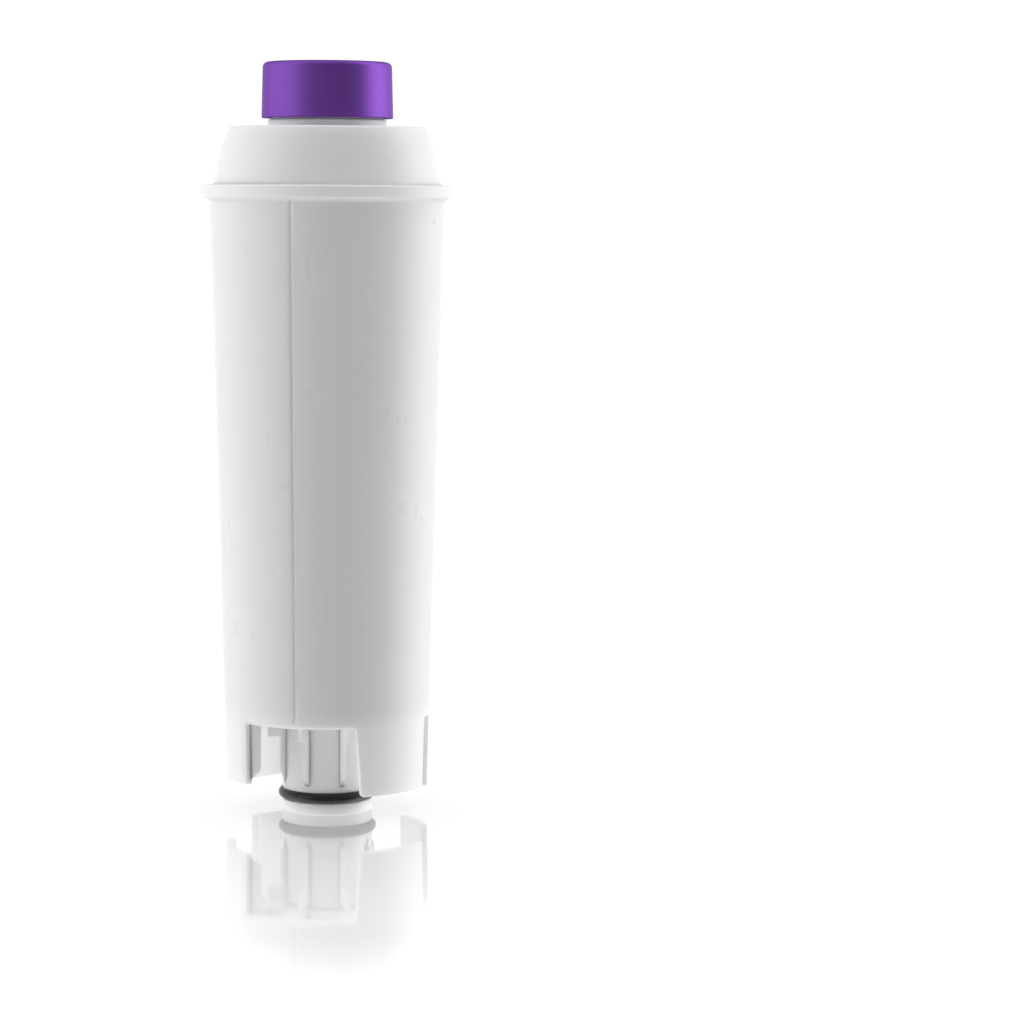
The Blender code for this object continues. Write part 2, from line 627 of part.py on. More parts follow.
def fin_outline():
    """One fin of the spigot, with its rounded gusset under the floor."""
    root = SPIGOT_COLUMN_RADIUS - BOOLEAN_OVERLAP
    top = SPIGOT_SHOULDER_Z - FIN_TOP_SETBACK
    gusset_start = (FIN_RADIUS + GUSSET_ROUND, GUSSET_FOOT_Z)
    gusset_end = (FIN_RADIUS, GUSSET_FOOT_Z - GUSSET_ROUND)
    return [
        (root, top),
        (GUSSET_RADIUS, top),
        (GUSSET_RADIUS, GUSSET_FOOT_Z),
        gusset_start,
        *arc(gusset_start, gusset_end, -QUARTER_ROUND * GUSSET_ROUND, 2),
        gusset_end,
        (FIN_RADIUS, FIN_TIP_Z),
        (SPIGOT_RADIUS, FIN_FOOT_Z + BOOLEAN_OVERLAP),
        (root, FIN_FOOT_Z + BOOLEAN_OVERLAP),
    ]


def make_spigot(material, parts, tools):
    spigot = turned("outlet_spigot", spigot_profile(), material, parts, SPIGOT_STEPS)
    half = math.degrees(FIN_WIDTH / FIN_RADIUS) / 2
    fins = []
    for number in range(FIN_COUNT):
        middle = FIRST_FIN_BEARING + 360.0 * number / FIN_COUNT
        mesh = swept(f"fin_{number}", fin_outline(), (middle - half, middle + half), 1)
        fins.append(tool(mesh.name, mesh, tools))
    combine(spigot, fins, "UNION")


def make_seals(rubber, silicone, parts):
    """The O-rings and flat washers."""
    cover_outer = barrel_radius(COVER_SEAL_Z) - WALL - CONTACT_GAP
    spigot_outer = SOCKET_HOLE_RADIUS - CONTACT_GAP
    o_rings = [
        ("outlet_o_ring", O_RING_RADIUS, O_RING_CORD, O_RING_Z, LARGE_SEAL_SIDES, SPIGOT_STEPS),
        ("cover_seal", cover_outer, COVER_SEAL_CORD, COVER_SEAL_Z, SMALL_SEAL_SIDES, LARGE_STEPS),
        ("spigot_seal", spigot_outer, SPIGOT_SEAL_CORD, SPIGOT_SEAL_Z, SMALL_SEAL_SIDES, SMALL_STEPS),
    ]
    for name, outer, cord, middle_z, sides, steps in o_rings:
        seal(name, outer, cord, middle_z, sides, steps, rubber, parts)
    tube_seal_top = TUBE_SEAL_Z + TUBE_SEAL_THICKNESS
    ring("tube_seal", TUBE_BORE_RADIUS, TUBE_RADIUS, TUBE_SEAL_Z, tube_seal_top, silicone, parts)
    washer_bottom = CAP_SEAL_TOP_Z - CAP_SEAL_THICKNESS
    ring("cap_seal", NECK_BORE_RADIUS, NECK_RADIUS, washer_bottom, CAP_SEAL_TOP_Z, silicone, parts)


def make_grid(name, base_z, material, parts):
    """A perforated support plate that the central tube passes through."""
    inner = TUBE_RADIUS + CONTACT_GAP
    outer = bed_radius(base_z)
    outlines = [circle(outer, LARGE_STEPS), circle(inner, SMALL_STEPS // 2)]
    for number in range(GRID_SLOTS):
        middle = 360.0 * number / GRID_SLOTS
        outlines.append(slot(inner + GRID_HUB_WALL, outer - GRID_RIM_WALL, middle, GRID_SLOT_ANGLE, 3))
    plate(name, outlines, base_z, GRID_THICKNESS, material, parts)


def make_layer(name, base_z, thickness, material, parts):
    """One layer of the bed, from the central tube to the tapered wall."""
    top_z = base_z + thickness
    outer = (bed_radius(base_z), bed_radius(top_z))
    ring(name, TUBE_RADIUS + CONTACT_GAP, outer, base_z, top_z, material, parts)


def make_bed(fleece, resin, carbon, frame_plastic, parts):
    screen_outer = bed_radius(SCREEN_Z)
    screen_inner = SOCKET_COLLAR_RADIUS + CONTACT_GAP
    screen_top = SCREEN_Z + SCREEN_THICKNESS
    ring("inlet_screen", screen_inner, screen_outer, SCREEN_Z, screen_top, fleece, parts)
    make_grid("lower_grid", LOWER_GRID_Z, frame_plastic, parts)
    make_layer("lower_fleece", LOWER_FLEECE_Z, LOWER_FLEECE_THICKNESS, fleece, parts)
    make_layer("resin_bed", RESIN_Z, RESIN_DEPTH, resin, parts)
    make_layer("separator_fleece", SEPARATOR_Z, SEPARATOR_THICKNESS, fleece, parts)
    make_layer("carbon_bed", CARBON_Z, CARBON_DEPTH, carbon, parts)
    make_layer("upper_fleece", UPPER_FLEECE_Z, UPPER_FLEECE_THICKNESS, fleece, parts)
    make_grid("upper_grid", UPPER_GRID_Z, frame_plastic, parts)


def make_tube(material, parts, tools):
    """The central tube that brings filtered water down, and the strainer that plugs its top."""
    ring("central_tube", TUBE_BORE_RADIUS, TUBE_RADIUS, TUBE_BOTTOM_Z, TUBE_TOP_Z, material, parts)
    disc_z = TUBE_TOP_Z + CONTACT_GAP
    plug_radius = TUBE_BORE_RADIUS - CONTACT_GAP
    plug_bore = plug_radius - STRAINER_PLUG_WALL
    profile = [
        (0.0, disc_z + STRAINER_THICKNESS),
        (TUBE_RADIUS, disc_z + STRAINER_THICKNESS),
        (TUBE_RADIUS, disc_z),
        (plug_radius, disc_z),
        (plug_radius, disc_z - STRAINER_PLUG_LENGTH),
        (plug_bore, disc_z - STRAINER_PLUG_LENGTH),
        (plug_bore, disc_z),
        (0.0, disc_z),
    ]
    strainer = turned("tube_strainer", profile, material, parts, SMALL_STEPS, closed=False)
    above = disc_z + 2 * STRAINER_THICKNESS
    below = disc_z - STRAINER_THICKNESS
    inner = STRAINER_HUB_RADIUS
    outer = plug_bore - STRAINER_SLOT_MARGIN
    outline = [(inner, above), (outer, above), (outer, below), (inner, below)]
    cutters = []
    for number in range(STRAINER_SLOTS):
        middle = 360.0 * number / STRAINER_SLOTS
        across = (middle - STRAINER_SLOT_ANGLE / 2, middle + STRAINER_SLOT_ANGLE / 2)
        mesh = swept(f"strainer_slot_{number}", outline, across, 2)
        cutters.append(tool(mesh.name, mesh, tools))
    combine(strainer, cutters, "DIFFERENCE")


def make_spring(material, parts):
    """The valve's spring: a round wire coiled between the cage and the poppet."""
    low = SPRING_BOTTOM_Z + SPRING_WIRE / 2
    high = SPRING_TOP_Z - SPRING_WIRE / 2
    count = SPRING_TURNS * WIRE_POINTS_PER_TURN + 1
    curve = bpy.data.curves.new("valve_spring", "CURVE")
    curve.dimensions = "3D"
    curve.bevel_depth = SPRING_WIRE / 2
    curve.bevel_resolution = 2
    curve.use_fill_caps = True
    wire = curve.splines.new("POLY")
    wire.points.add(count - 1)
    for number, point in enumerate(wire.points):
        bearing = 360.0 * number / WIRE_POINTS_PER_TURN
        z = low + (high - low) * number / (count - 1)
        point.co = (*at_bearing(SPRING_RADIUS, bearing, z), 1.0)
    place("valve_spring", curve, material, parts)


def make_valve(silicone, frame_plastic, steel, parts):
    seat_top = VALVE_SEAT_Z + VALVE_SEAT_THICKNESS
    ring("valve_seat", VALVE_SEAT_HOLE, INSERT_RADIUS, VALVE_SEAT_Z, seat_top, silicone, parts)
    profile = [
        (0.0, POPPET_TOP_Z),
        (POPPET_RADIUS, POPPET_TOP_Z),
        (POPPET_RADIUS, POPPET_UNDERSIDE_Z),
        (STEM_RADIUS, POPPET_UNDERSIDE_Z),
        (STEM_RADIUS, POPPET_UNDERSIDE_Z - STEM_LENGTH),
        (0.0, POPPET_UNDERSIDE_Z - STEM_LENGTH),
    ]
    turned("valve_poppet", profile, frame_plastic, parts, SMALL_STEPS, closed=False)
    hub_radius = GUIDE_RADIUS + CAGE_HUB_WALL
    window = 360.0 / CAGE_SPOKES - CAGE_SPOKE_ANGLE
    outlines = [circle(INSERT_RADIUS, SMALL_STEPS), circle(GUIDE_RADIUS, SMALL_STEPS // 2)]
    for number in range(CAGE_SPOKES):
        middle = 360.0 * (number + 0.5) / CAGE_SPOKES
        outlines.append(slot(hub_radius, INSERT_RADIUS - CAGE_RIM_WALL, middle, window, 7))
    plate("valve_cage", outlines, CAGE_Z, CAGE_THICKNESS, frame_plastic, parts)
    make_spring(steel, parts)


def main():
    for leftover in list(bpy.data.objects):
        bpy.data.objects.remove(leftover)
    parts = new_collection("pump_water_filter")
    tools = new_collection("cutters")
    white = plastic("white_plastic", (0.86, 0.86, 0.87), 0.35)
    purple = plastic("purple_plastic", (0.20, 0.07, 0.42), 0.3)
    frame_plastic = plastic("natural_plastic", (0.80, 0.80, 0.77), 0.45)
    rubber = plastic("black_rubber", (0.02, 0.02, 0.02), 0.6)
    silicone = plastic("silicone", (0.75, 0.74, 0.72), 0.5)
    fleece = plastic("fleece", (0.82, 0.82, 0.80), 0.9)
    resin = plastic("resin_beads", (0.62, 0.36, 0.12), 0.5)
    carbon = plastic("carbon_granules", (0.03, 0.03, 0.03), 0.8)
    steel = plastic("spring_steel", (0.60, 0.60, 0.60), 0.25, 1.0)
    make_housing(white, parts, tools)
    make_top_cover(white, parts, tools)
    make_screw_cap(purple, parts, tools)
    make_spigot(white, parts, tools)
    make_seals(rubber, silicone, parts)
    make_bed(fleece, resin, carbon, frame_plastic, parts)
    make_tube(frame_plastic, parts, tools)
    make_valve(silicone, frame_plastic, steel, parts)


main()
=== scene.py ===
"""The looks of a plug-in water filter cartridge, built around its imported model.

The visible mouldings are rebuilt here as fine meshes with rounded edges: housing, top cover, screw cap,
outlet spigot and O-ring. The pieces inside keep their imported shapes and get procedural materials.
Bearings are measured in degrees from the front, -Y, towards +X, as in the part's own source.
"""

import math

import bmesh
import bpy
from mathutils import Matrix, Vector


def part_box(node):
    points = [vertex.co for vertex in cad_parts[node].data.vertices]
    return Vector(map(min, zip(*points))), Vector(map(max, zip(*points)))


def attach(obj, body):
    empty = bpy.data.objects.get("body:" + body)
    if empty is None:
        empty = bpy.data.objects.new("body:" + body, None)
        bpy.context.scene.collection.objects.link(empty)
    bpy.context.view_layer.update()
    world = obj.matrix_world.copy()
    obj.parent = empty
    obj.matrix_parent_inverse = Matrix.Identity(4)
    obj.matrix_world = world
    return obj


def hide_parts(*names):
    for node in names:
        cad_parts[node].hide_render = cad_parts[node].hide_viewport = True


MM = 0.001
ON_AXIS = 0.001 * MM

# Housing
BARREL_TOP_RADIUS = 25.87 * MM
DRAFT_SLOPE = 0.0263
WALL = 1.5 * MM
FLOOR_UNDERSIDE_Z = 21.1 * MM
FLOOR_THICKNESS = 2.0 * MM
RIM_THICKNESS = 2.8 * MM
RIM_FILLET_PROUD = 1.4 * MM
RIM_FILLET_HEIGHT = 0.8 * MM
RIM_FILLET_BULGE = 0.16 * MM
SOCKET_HOLE_RADIUS = 8.7 * MM
SOCKET_COLLAR_RADIUS = 10.3 * MM
SOCKET_COLLAR_HEIGHT = 5.4 * MM
PORT_INNER_RADIUS = 14.1 * MM
PORT_OUTER_RADIUS = 18.9 * MM
PORT_COUNT = 8  # inlet ports round the floor
PORT_ANGLE = 26.0
FIRST_PORT_BEARING = 41.5

# Seam groove up the barrel, as (degrees from its middle, share of its full depth)
SEAM_BEARING = -17.7
SEAM_DEPTH = 0.36 * MM
SEAM_SHAPE = [
    (-1.40, 0.0),
    (-1.00, 0.10),
    (-0.50, 0.78),
    (-0.25, 1.0),
    (0.0, 1.0),
    (0.30, 0.84),
    (1.00, 0.26),
    (1.40, 0.07),
    (1.80, 0.0),
]
SEAM_LOW_Z = 22.4 * MM
SEAM_RUN_OUT = 0.4 * MM

# Skirt: legs as (from bearing, to bearing, clearance above the foot, flare of the first edge)
LEGS = [
    (16.0, 69.0, 6.1 * MM, 3.6),
    (95.0, 128.0, 4.4 * MM, 0.0),
    (197.0, 230.0, 4.4 * MM, 0.0),
    (256.0, 309.0, 7.7 * MM, 0.0),
]
SKIRT_BOTTOM_Z = 4.4 * MM
FLARE_REACH = 14.0  # degrees of the leg over which its flared edge is taken up
LEG_CORNER = 0.6 * MM  # rounding of the legs' lower corners
LEG_CORNERS = [(0.7 * MM, LEG_CORNER)] + 3 * [(LEG_CORNER, LEG_CORNER)]
LIP_HEIGHT = 1.3 * MM  # rounding of the wall's bottom edge between the legs
LIP_DEPTH = 0.75 * MM
LIP_RUN_OUT = 1.6  # degrees beside a leg over which the rounding grows
LIP_ROWS = 6
KEY_PLATE_OUTER_INSET = 0.9 * MM
KEY_PLATE_TIP_RADIUS = 18.5 * MM
KEY_PLATE_LOW_Z = 8.8 * MM
KEY_PLATE_HIGH_Z = 10.4 * MM
KEY_PLATE_THICKNESS = 1.1 * MM
MOULD_EDGE = 0.17 * MM  # rounding of the moulded edges

# Top cover
SHOULDER_HEIGHT = 12.6 * MM
SHOULDER_TOP_RADIUS = 21.7 * MM
SHOULDER_BASE_RADIUS = 24.9 * MM
SHOULDER_BULGE = 0.5 * MM
SHOULDER_FILLET = 0.8 * MM
COLLAR_RADIUS = 13.0 * MM
COLLAR_HEIGHT = 1.6 * MM
NECK_RADIUS = 12.2 * MM
NECK_BORE_RADIUS = 10.2 * MM
COVER_WALL = 1.6 * MM
COVER_SEAT = 0.02 * MM  # how far the cover's foot sits below the rim's top
PLUG_RADIUS = 23.85 * MM
PLUG_BORE_RADIUS = 20.95 * MM

# Thread of neck and cap
THREAD_PITCH = 3.0 * MM
THREAD_DEPTH = 0.85 * MM
THREAD_ROOT_WIDTH = 1.2 * MM
THREAD_CREST_WIDTH = 0.7 * MM
THREAD_CREST_ROUND = 0.18 * MM
THREAD_ROOT_OVERLAP = 0.2 * MM  # how far a ridge's root lies inside its wall
THREAD_END_SHARE = 0.02  # of the full depth, at a ridge's very end
THREAD_START_BEARING = 40.0
THREAD_STEPS_PER_TURN = 96
THREAD_RUN_OUT = 16.0  # degrees over which a ridge rises from the wall
NECK_THREAD_TURNS = 1.6
CAP_THREAD_TURNS = 1.2
NECK_THREAD_START_Z = 2.6 * MM  # above the collar

# Screw cap
CAP_WALL = 0.95 * MM
CAP_TOP_THICKNESS = 1.2 * MM
CAP_TAPER = 0.3 * MM
CAP_EDGE_ROUND = 1.2 * MM
CAP_RIB_PROUD = 0.28 * MM
CAP_RIB_WIDTH = 1.6  # degrees
CAP_RIB_TALL_Z = 159.8 * MM
CAP_RIB_SHORT_Z = 157.2 * MM
CAP_RIBS = [  # in each quarter, as (bearing, top)
    (-35.0, CAP_RIB_SHORT_Z),
    (-17.5, CAP_RIB_TALL_Z),
    (11.0, CAP_RIB_TALL_Z),
    (29.0, CAP_RIB_SHORT_Z),
]

# Outlet spigot
SPIGOT_RADIUS = 9.96 * MM
SPIGOT_COLUMN_RADIUS = 9.75 * MM
SPIGOT_BORE_RADIUS = 6.2 * MM
SPIGOT_LAND_TOP_Z = 6.6 * MM
SPIGOT_SHOULDER_Z = 20.8 * MM
SPIGOT_NECK_RADIUS = 8.4 * MM
O_RING_GROOVE_ROOT = 7.6 * MM
GROOVE_CLEARANCE = 0.1 * MM
TUBE_SOCKET_RADIUS = 5.8 * MM
VALVE_WEB_Z = 20.0 * MM
VALVE_WEB_THICKNESS = 1.2 * MM
VALVE_WEB_HOLE = 4.0 * MM
FIN_COUNT = 8
FIRST_FIN_BEARING = 19.0
FIN_WIDTH = 0.95 * MM
FIN_RADIUS = 11.1 * MM
FIN_FOOT_Z = 6.4 * MM
FIN_TIP_Z = 9.2 * MM
FIN_TOP_Z = 20.4 * MM
GUSSET_RADIUS = 13.8 * MM
GUSSET_FOOT_Z = 16.8 * MM
GUSSET_ROUND = 0.6 * MM

# Mesh density
TURNED_STEPS = 320
SMALL_TURNED_STEPS = 240
COLUMN_PITCH = 1.0  # degrees
COLUMN_CLEARANCE = 0.5  # degrees kept free beside a column that an edge needs
LEG_EDGE_COLUMNS = (-0.8, 0.6, 1.2)  # degrees into a leg from each of its edges
O_RING_SIDES = 40
SKIRT_ROWS = 6
BARREL_ROWS = 14
SHARP_ANGLE = math.radians(38.0)
BEVEL_ANGLE = math.radians(50.0)

TABLE_HALF = 6.0

# Painted light of the table: its glow by distance from the cartridge's axis in mm, less near the cartridge as
# a painted shadow where the cartridge would shade it
PAINTED_SHADOW_REACH = 200.0
TABLE_PAINTED_GLOW_AND_SHADOW = [
    (0.0, 0.26),
    (14.0, 0.30),
    (24.0, 0.38),
    (50.0, 0.45),
    (85.0, 0.53),
    (126.0, 0.62),
    (165.0, 0.84),
    (200.0, 1.0),
]

# Radiance of the room by bearing from the front: a dim front, soft boxes at both sides
ROOM = [
    (-180.0, 0.50),
    (-152.0, 0.55),
    (-135.0, 1.05),
    (-104.0, 1.56),
    (-90.0, 1.45),
    (-60.0, 1.36),
    (-38.0, 0.40),
    (0.0, 0.36),
    (40.0, 0.30),
    (66.0, 0.24),
    (84.0, 2.05),
    (98.0, 2.60),
    (110.0, 2.45),
    (132.0, 1.30),
    (152.0, 0.55),
    (180.0, 0.50),
]
BACK_WALL = 0.62  # added behind the cartridge, low down
BACK_WALL_BEARINGS = [(0.06, 1.0), (0.11, 0.0), (0.89, 0.0), (0.94, 1.0)]  # once round is 1, from the back
BACK_WALL_HEIGHT = [(0.27, 1.0), (0.38, 0.0)]  # sines of elevation
CEILING = 0.9
CEILING_HEIGHT = [(0.75, 0.0), (0.97, 1.0)]
TABLE_LIGHT = 0.4  # added below, where a white table would send light up
TABLE_LIGHT_DEPTH = [(0.45, 0.0), (0.85, 1.0)]  # sines of depression
ROOM_STRENGTH = 1.04
BACKDROP = 1.05

# Camera: where it stands, in metres, and how it is turned, in degrees
CAMERA_DISTANCE = 0.720
CAMERA_HEIGHT = 0.13574
CAMERA_YAW = 3.2544
CAMERA_TILT = 5.5016
CAMERA_ROLL = 0.3185
CAMERA_LENS = 114.68

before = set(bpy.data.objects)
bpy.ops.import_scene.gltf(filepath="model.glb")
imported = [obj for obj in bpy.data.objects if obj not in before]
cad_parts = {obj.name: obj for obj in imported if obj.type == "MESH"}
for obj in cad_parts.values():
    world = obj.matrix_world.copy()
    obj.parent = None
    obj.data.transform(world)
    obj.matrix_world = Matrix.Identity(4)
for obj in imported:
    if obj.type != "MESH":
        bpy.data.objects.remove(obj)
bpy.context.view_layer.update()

housing_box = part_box("housing")
cover_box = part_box("top_cover")
cap_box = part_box("screw_cap")
o_ring_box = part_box("outlet_o_ring")
spigot_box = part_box("outlet_spigot")

RIM_RADIUS = housing_box[1].x
RIM_TOP_Z = housing_box[1].z
RIM_UNDERSIDE_Z = RIM_TOP_Z - RIM_THICKNESS
FLOOR_TOP_Z = FLOOR_UNDERSIDE_Z + FLOOR_THICKNESS
NECK_TOP_Z = cover_box[1].z
PLUG_BOTTOM_Z = cover_box[0].z
SHOULDER_TOP_Z = RIM_TOP_Z + SHOULDER_HEIGHT
COLLAR_TOP_Z = SHOULDER_TOP_Z + COLLAR_HEIGHT
CAP_BOTTOM_Z = cap_box[0].z
CAP_TOP_Z = cap_box[1].z
CAP_RADIUS = cap_box[1].x
CAP_INNER_RADIUS = CAP_RADIUS - CAP_WALL
CAP_CEILING_Z = CAP_TOP_Z - CAP_TOP_THICKNESS
SPIGOT_TOP_Z = spigot_box[1].z


# ---------------------------------------------------------------- shapes

def barrel_radius(z):
    """The housing's outer radius at a height, along its draft."""
    return BARREL_TOP_RADIUS - DRAFT_SLOPE * (RIM_UNDERSIDE_Z - z)


def at_bearing(radius, bearing, z):
    angle = math.radians(bearing)
    return Vector((radius * math.sin(angle), -radius * math.cos(angle), z))


def smooth_step(share):
    share = min(max(share, 0.0), 1.0)
    return share * share * (3.0 - 2.0 * share)


def arc(start, end, bulge, count):
    """The points between start and end on an arc that stands out by bulge, to the left of its run."""
    start, end = Vector(start), Vector(end)
    chord = (end - start).length
    radius = (chord * chord / 4 + bulge * bulge) / (2 * abs(bulge))
    half = math.asin(chord / (2 * radius))
    along = (end - start) / chord
    normal = Vector((-along.y, along.x)) * math.copysign(1.0, bulge)
    points = []
    for step in range(1, count + 1):
        turn = -half + 2 * half * step / (count + 1)
        run = chord / 2 + radius * math.sin(turn)
        rise = radius * (math.cos(turn) - math.cos(half))
        points.append(tuple(start + along * run + normal * rise))
    return points


def rounded(corners, closed=True, steps=5):
    """An outline of (radius, height) or (radius, height, rounding) corners, each rounded corner an arc."""
    points = []
    last = len(corners) - 1
    for number, corner in enumerate(corners):
        here = Vector(corner[:2])
        size = corner[2] if len(corner) > 2 else 0.0
        if size == 0.0 or (not closed and number in (0, last)):
            points.append(tuple(here))
            continue
        back = Vector(corners[number - 1][:2]) - here
        ahead = Vector(corners[(number + 1) % len(corners)][:2]) - here
        opening = back.angle(ahead)
        reach = min(size / math.tan(opening / 2), 0.48 * back.length, 0.48 * ahead.length)
        radius = reach * math.tan(opening / 2)
        inward = (back.normalized() + ahead.normalized()).normalized()
        centre = here + inward * radius / math.sin(opening / 2)
        first = here + back.normalized() * reach - centre
        final = here + ahead.normalized() * reach - centre
        sweep = first.angle(final)
        for step in range(steps + 1):
            share = step / steps
            leg = first * math.sin((1 - share) * sweep) + final * math.sin(share * sweep)
            points.append(tuple(centre + leg / math.sin(sweep)))
    return points


def quad(shape, corners):
    """A face through the corners that differ."""
    unique = list(dict.fromkeys(corners))
    if len(unique) > 2:
        shape.faces.new(unique)


def lathe(shape, outline, steps):
    """Turns a closed (radius, height) outline about the vertical axis."""
    bearings = [360.0 * number / steps for number in range(steps)]
    rings = []
    for radius, z in outline:
        if radius < ON_AXIS:
            rings.append([shape.verts.new((0.0, 0.0, z))] * steps)
        else:
            rings.append([shape.verts.new(at_bearing(radius, bearing, z)) for bearing in bearings])
    for ring, following in zip(rings, rings[1:] + rings[:1]):
        for i in range(steps):
            j = (i + 1) % steps
            quad(shape, [ring[i], ring[j], following[j], following[i]])


def soften(shape, width, segments=3):
    """Rounds every edge that turns sharply."""
    edges = []
    for edge in shape.edges:
        if len(edge.link_faces) == 2 and edge.calc_face_angle() > BEVEL_ANGLE:
            edges.append(edge)
    bmesh.ops.bevel(
        shape,
        geom=edges,
        offset=width,
        offset_type="OFFSET",
        segments=segments,
        profile=0.5,
        affect="EDGES",
        clamp_overlap=False,
    )


def add_shell(target, shell):
    """Copies one bmesh into another as a separate shell, and frees it."""
    bmesh.ops.recalc_face_normals(shell, faces=shell.faces)
    mesh = bpy.data.meshes.new("shell")
    shell.to_mesh(mesh)
    shell.free()
    target.from_mesh(mesh)
    bpy.data.meshes.remove(mesh)


def piece_from(name, shape, material, body, node):
    """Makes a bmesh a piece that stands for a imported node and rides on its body."""
    mesh = bpy.data.meshes.new(name)
    shape.to_mesh(mesh)
    shape.free()
    mesh.shade_smooth()
    mesh.set_sharp_from_angle(angle=SHARP_ANGLE)
    mesh.materials.append(material)
    piece = bpy.data.objects.new(name, mesh)
    bpy.context.scene.collection.objects.link(piece)
    normals = piece.modifiers.new("even_shading", "WEIGHTED_NORMAL")
    normals.keep_sharp = True
    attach(piece, body)
    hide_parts(node)
    return piece


# ---------------------------------------------------------------- housing

def housing_columns():
    """The bearings of the housing's columns: a regular pitch, with exact ones where an edge needs them."""
    exact = [bearing % 360.0 for leg in LEGS for bearing in leg[:2]]
    for number in range(PORT_COUNT):
        middle = FIRST_PORT_BEARING + 360.0 * number / PORT_COUNT
        exact += [(middle - PORT_ANGLE / 2) % 360.0, (middle + PORT_ANGLE / 2) % 360.0]
    fine = [(SEAM_BEARING + offset) % 360.0 for offset, _ in SEAM_SHAPE]
    for start, end, _, _ in LEGS:
        fine += [start + inset for inset in LEG_EDGE_COLUMNS]
        fine += [end - inset for inset in LEG_EDGE_COLUMNS]
    columns = exact + fine
    for number in range(round(360.0 / COLUMN_PITCH)):
        bearing = number * COLUMN_PITCH
        distance = min(abs((bearing - other + 180.0) % 360.0 - 180.0) for other in exact + fine)
        if distance > COLUMN_CLEARANCE:
            columns.append(bearing)
    return sorted(columns)


def cell(shape, column, following, row, below):
    """The face between two neighbouring columns, from one row to another."""
    quad(shape, [column[row], following[row], following[below], column[below]])


def leg_at(bearing):
    """The number of the leg that a bearing falls inside, or None."""
    for number, leg in enumerate(LEGS):
        if leg[0] < bearing < leg[1]:
            return number
    return None


def in_port(bearing):
    pitch = 360.0 / PORT_COUNT
    offset = (bearing - FIRST_PORT_BEARING + pitch / 2) % pitch - pitch / 2
    return abs(offset) < PORT_ANGLE / 2


def seam(bearing, z):
    """How deep the seam groove is at a place on the barrel."""
    offset = (bearing - SEAM_BEARING + 180.0) % 360.0 - 180.0
    for place, share in SEAM_SHAPE:
        if abs(offset - place) < 0.001:
            return SEAM_DEPTH * share * smooth_step((z - SEAM_LOW_Z) / SEAM_RUN_OUT)
    return 0.0


def lip(bearing, z):
    """How far the wall's rounded bottom edge is set back at a place between the legs."""
    rise = (z - FLOOR_UNDERSIDE_Z) / LIP_HEIGHT
    if leg_at(bearing) is not None or rise >= 1.0:
        return 0.0
    edges = [edge for leg in LEGS for edge in leg[:2]]
    distance = min(abs((bearing - edge + 180.0) % 360.0 - 180.0) for edge in edges)
    rounding = 1.0 - math.sqrt(max(0.0, 1.0 - (1.0 - rise) ** 2))
    return LIP_DEPTH * rounding * smooth_step(distance / LIP_RUN_OUT)


def shaped(radius, z, bearing):
    """The outer wall's radius with the seam groove and the rounded bottom edge in it."""
    if z > RIM_UNDERSIDE_Z - RIM_FILLET_HEIGHT / 2:
        return radius
    return radius - seam(bearing, z) - lip(bearing, z)


def housing_sections():
    """The housing's outline as five runs: outside, floor underside, socket, floor top, inside."""
    mouth_radius = BARREL_TOP_RADIUS - WALL
    fillet_top = (BARREL_TOP_RADIUS + RIM_FILLET_PROUD, RIM_UNDERSIDE_Z)
    fillet_z = RIM_UNDERSIDE_Z - RIM_FILLET_HEIGHT
    fillet_end = (barrel_radius(fillet_z), fillet_z)
    rim = rounded(
        [
            (mouth_radius, RIM_UNDERSIDE_Z),
            (mouth_radius, RIM_TOP_Z, 0.25 * MM),
            (RIM_RADIUS, RIM_TOP_Z, 0.45 * MM),
            (RIM_RADIUS, RIM_UNDERSIDE_Z, 0.4 * MM),
            fillet_top,
        ],
        closed=False,
    )
    outside = rim + arc(fillet_top, fillet_end, -RIM_FILLET_BULGE, 5) + [fillet_end]
    seam_end = SEAM_LOW_Z + SEAM_RUN_OUT
    for row in range(1, BARREL_ROWS + 1):
        z = fillet_z + (seam_end - fillet_z) * row / BARREL_ROWS
        outside.append((barrel_radius(z), z))
    for row in range(LIP_ROWS + 1):
        z = FLOOR_UNDERSIDE_Z + LIP_HEIGHT * math.cos(math.pi / 2 * row / LIP_ROWS)
        outside.append((barrel_radius(z), z))
    wall_inside = barrel_radius(FLOOR_UNDERSIDE_Z) - WALL
    floor_radii = (wall_inside, PORT_OUTER_RADIUS, PORT_INNER_RADIUS)
    floor_low = [(radius, FLOOR_UNDERSIDE_Z) for radius in floor_radii]
    collar_top = FLOOR_TOP_Z + SOCKET_COLLAR_HEIGHT
    socket = rounded(
        [
            (SOCKET_HOLE_RADIUS + 1.0 * MM, FLOOR_UNDERSIDE_Z),
            (SOCKET_HOLE_RADIUS, FLOOR_UNDERSIDE_Z, 0.3 * MM),
            (SOCKET_HOLE_RADIUS, collar_top, 0.2 * MM),
            (SOCKET_COLLAR_RADIUS, collar_top, 0.2 * MM),
            (SOCKET_COLLAR_RADIUS, FLOOR_TOP_Z, 0.3 * MM),
            (SOCKET_COLLAR_RADIUS + 1.0 * MM, FLOOR_TOP_Z),
        ],
        closed=False,
    )
    floor_high = [(PORT_INNER_RADIUS, FLOOR_TOP_Z), (PORT_OUTER_RADIUS, FLOOR_TOP_Z)]
    inside = rounded(
        [
            (PORT_OUTER_RADIUS + 0.5 * MM, FLOOR_TOP_Z),
            (barrel_radius(FLOOR_TOP_Z) - WALL, FLOOR_TOP_Z, 0.8 * MM),
            (barrel_radius(RIM_UNDERSIDE_Z) - WALL, RIM_UNDERSIDE_Z - 0.5 * MM),
        ],
        closed=False,
    )
    return outside, floor_low, socket, floor_high, inside


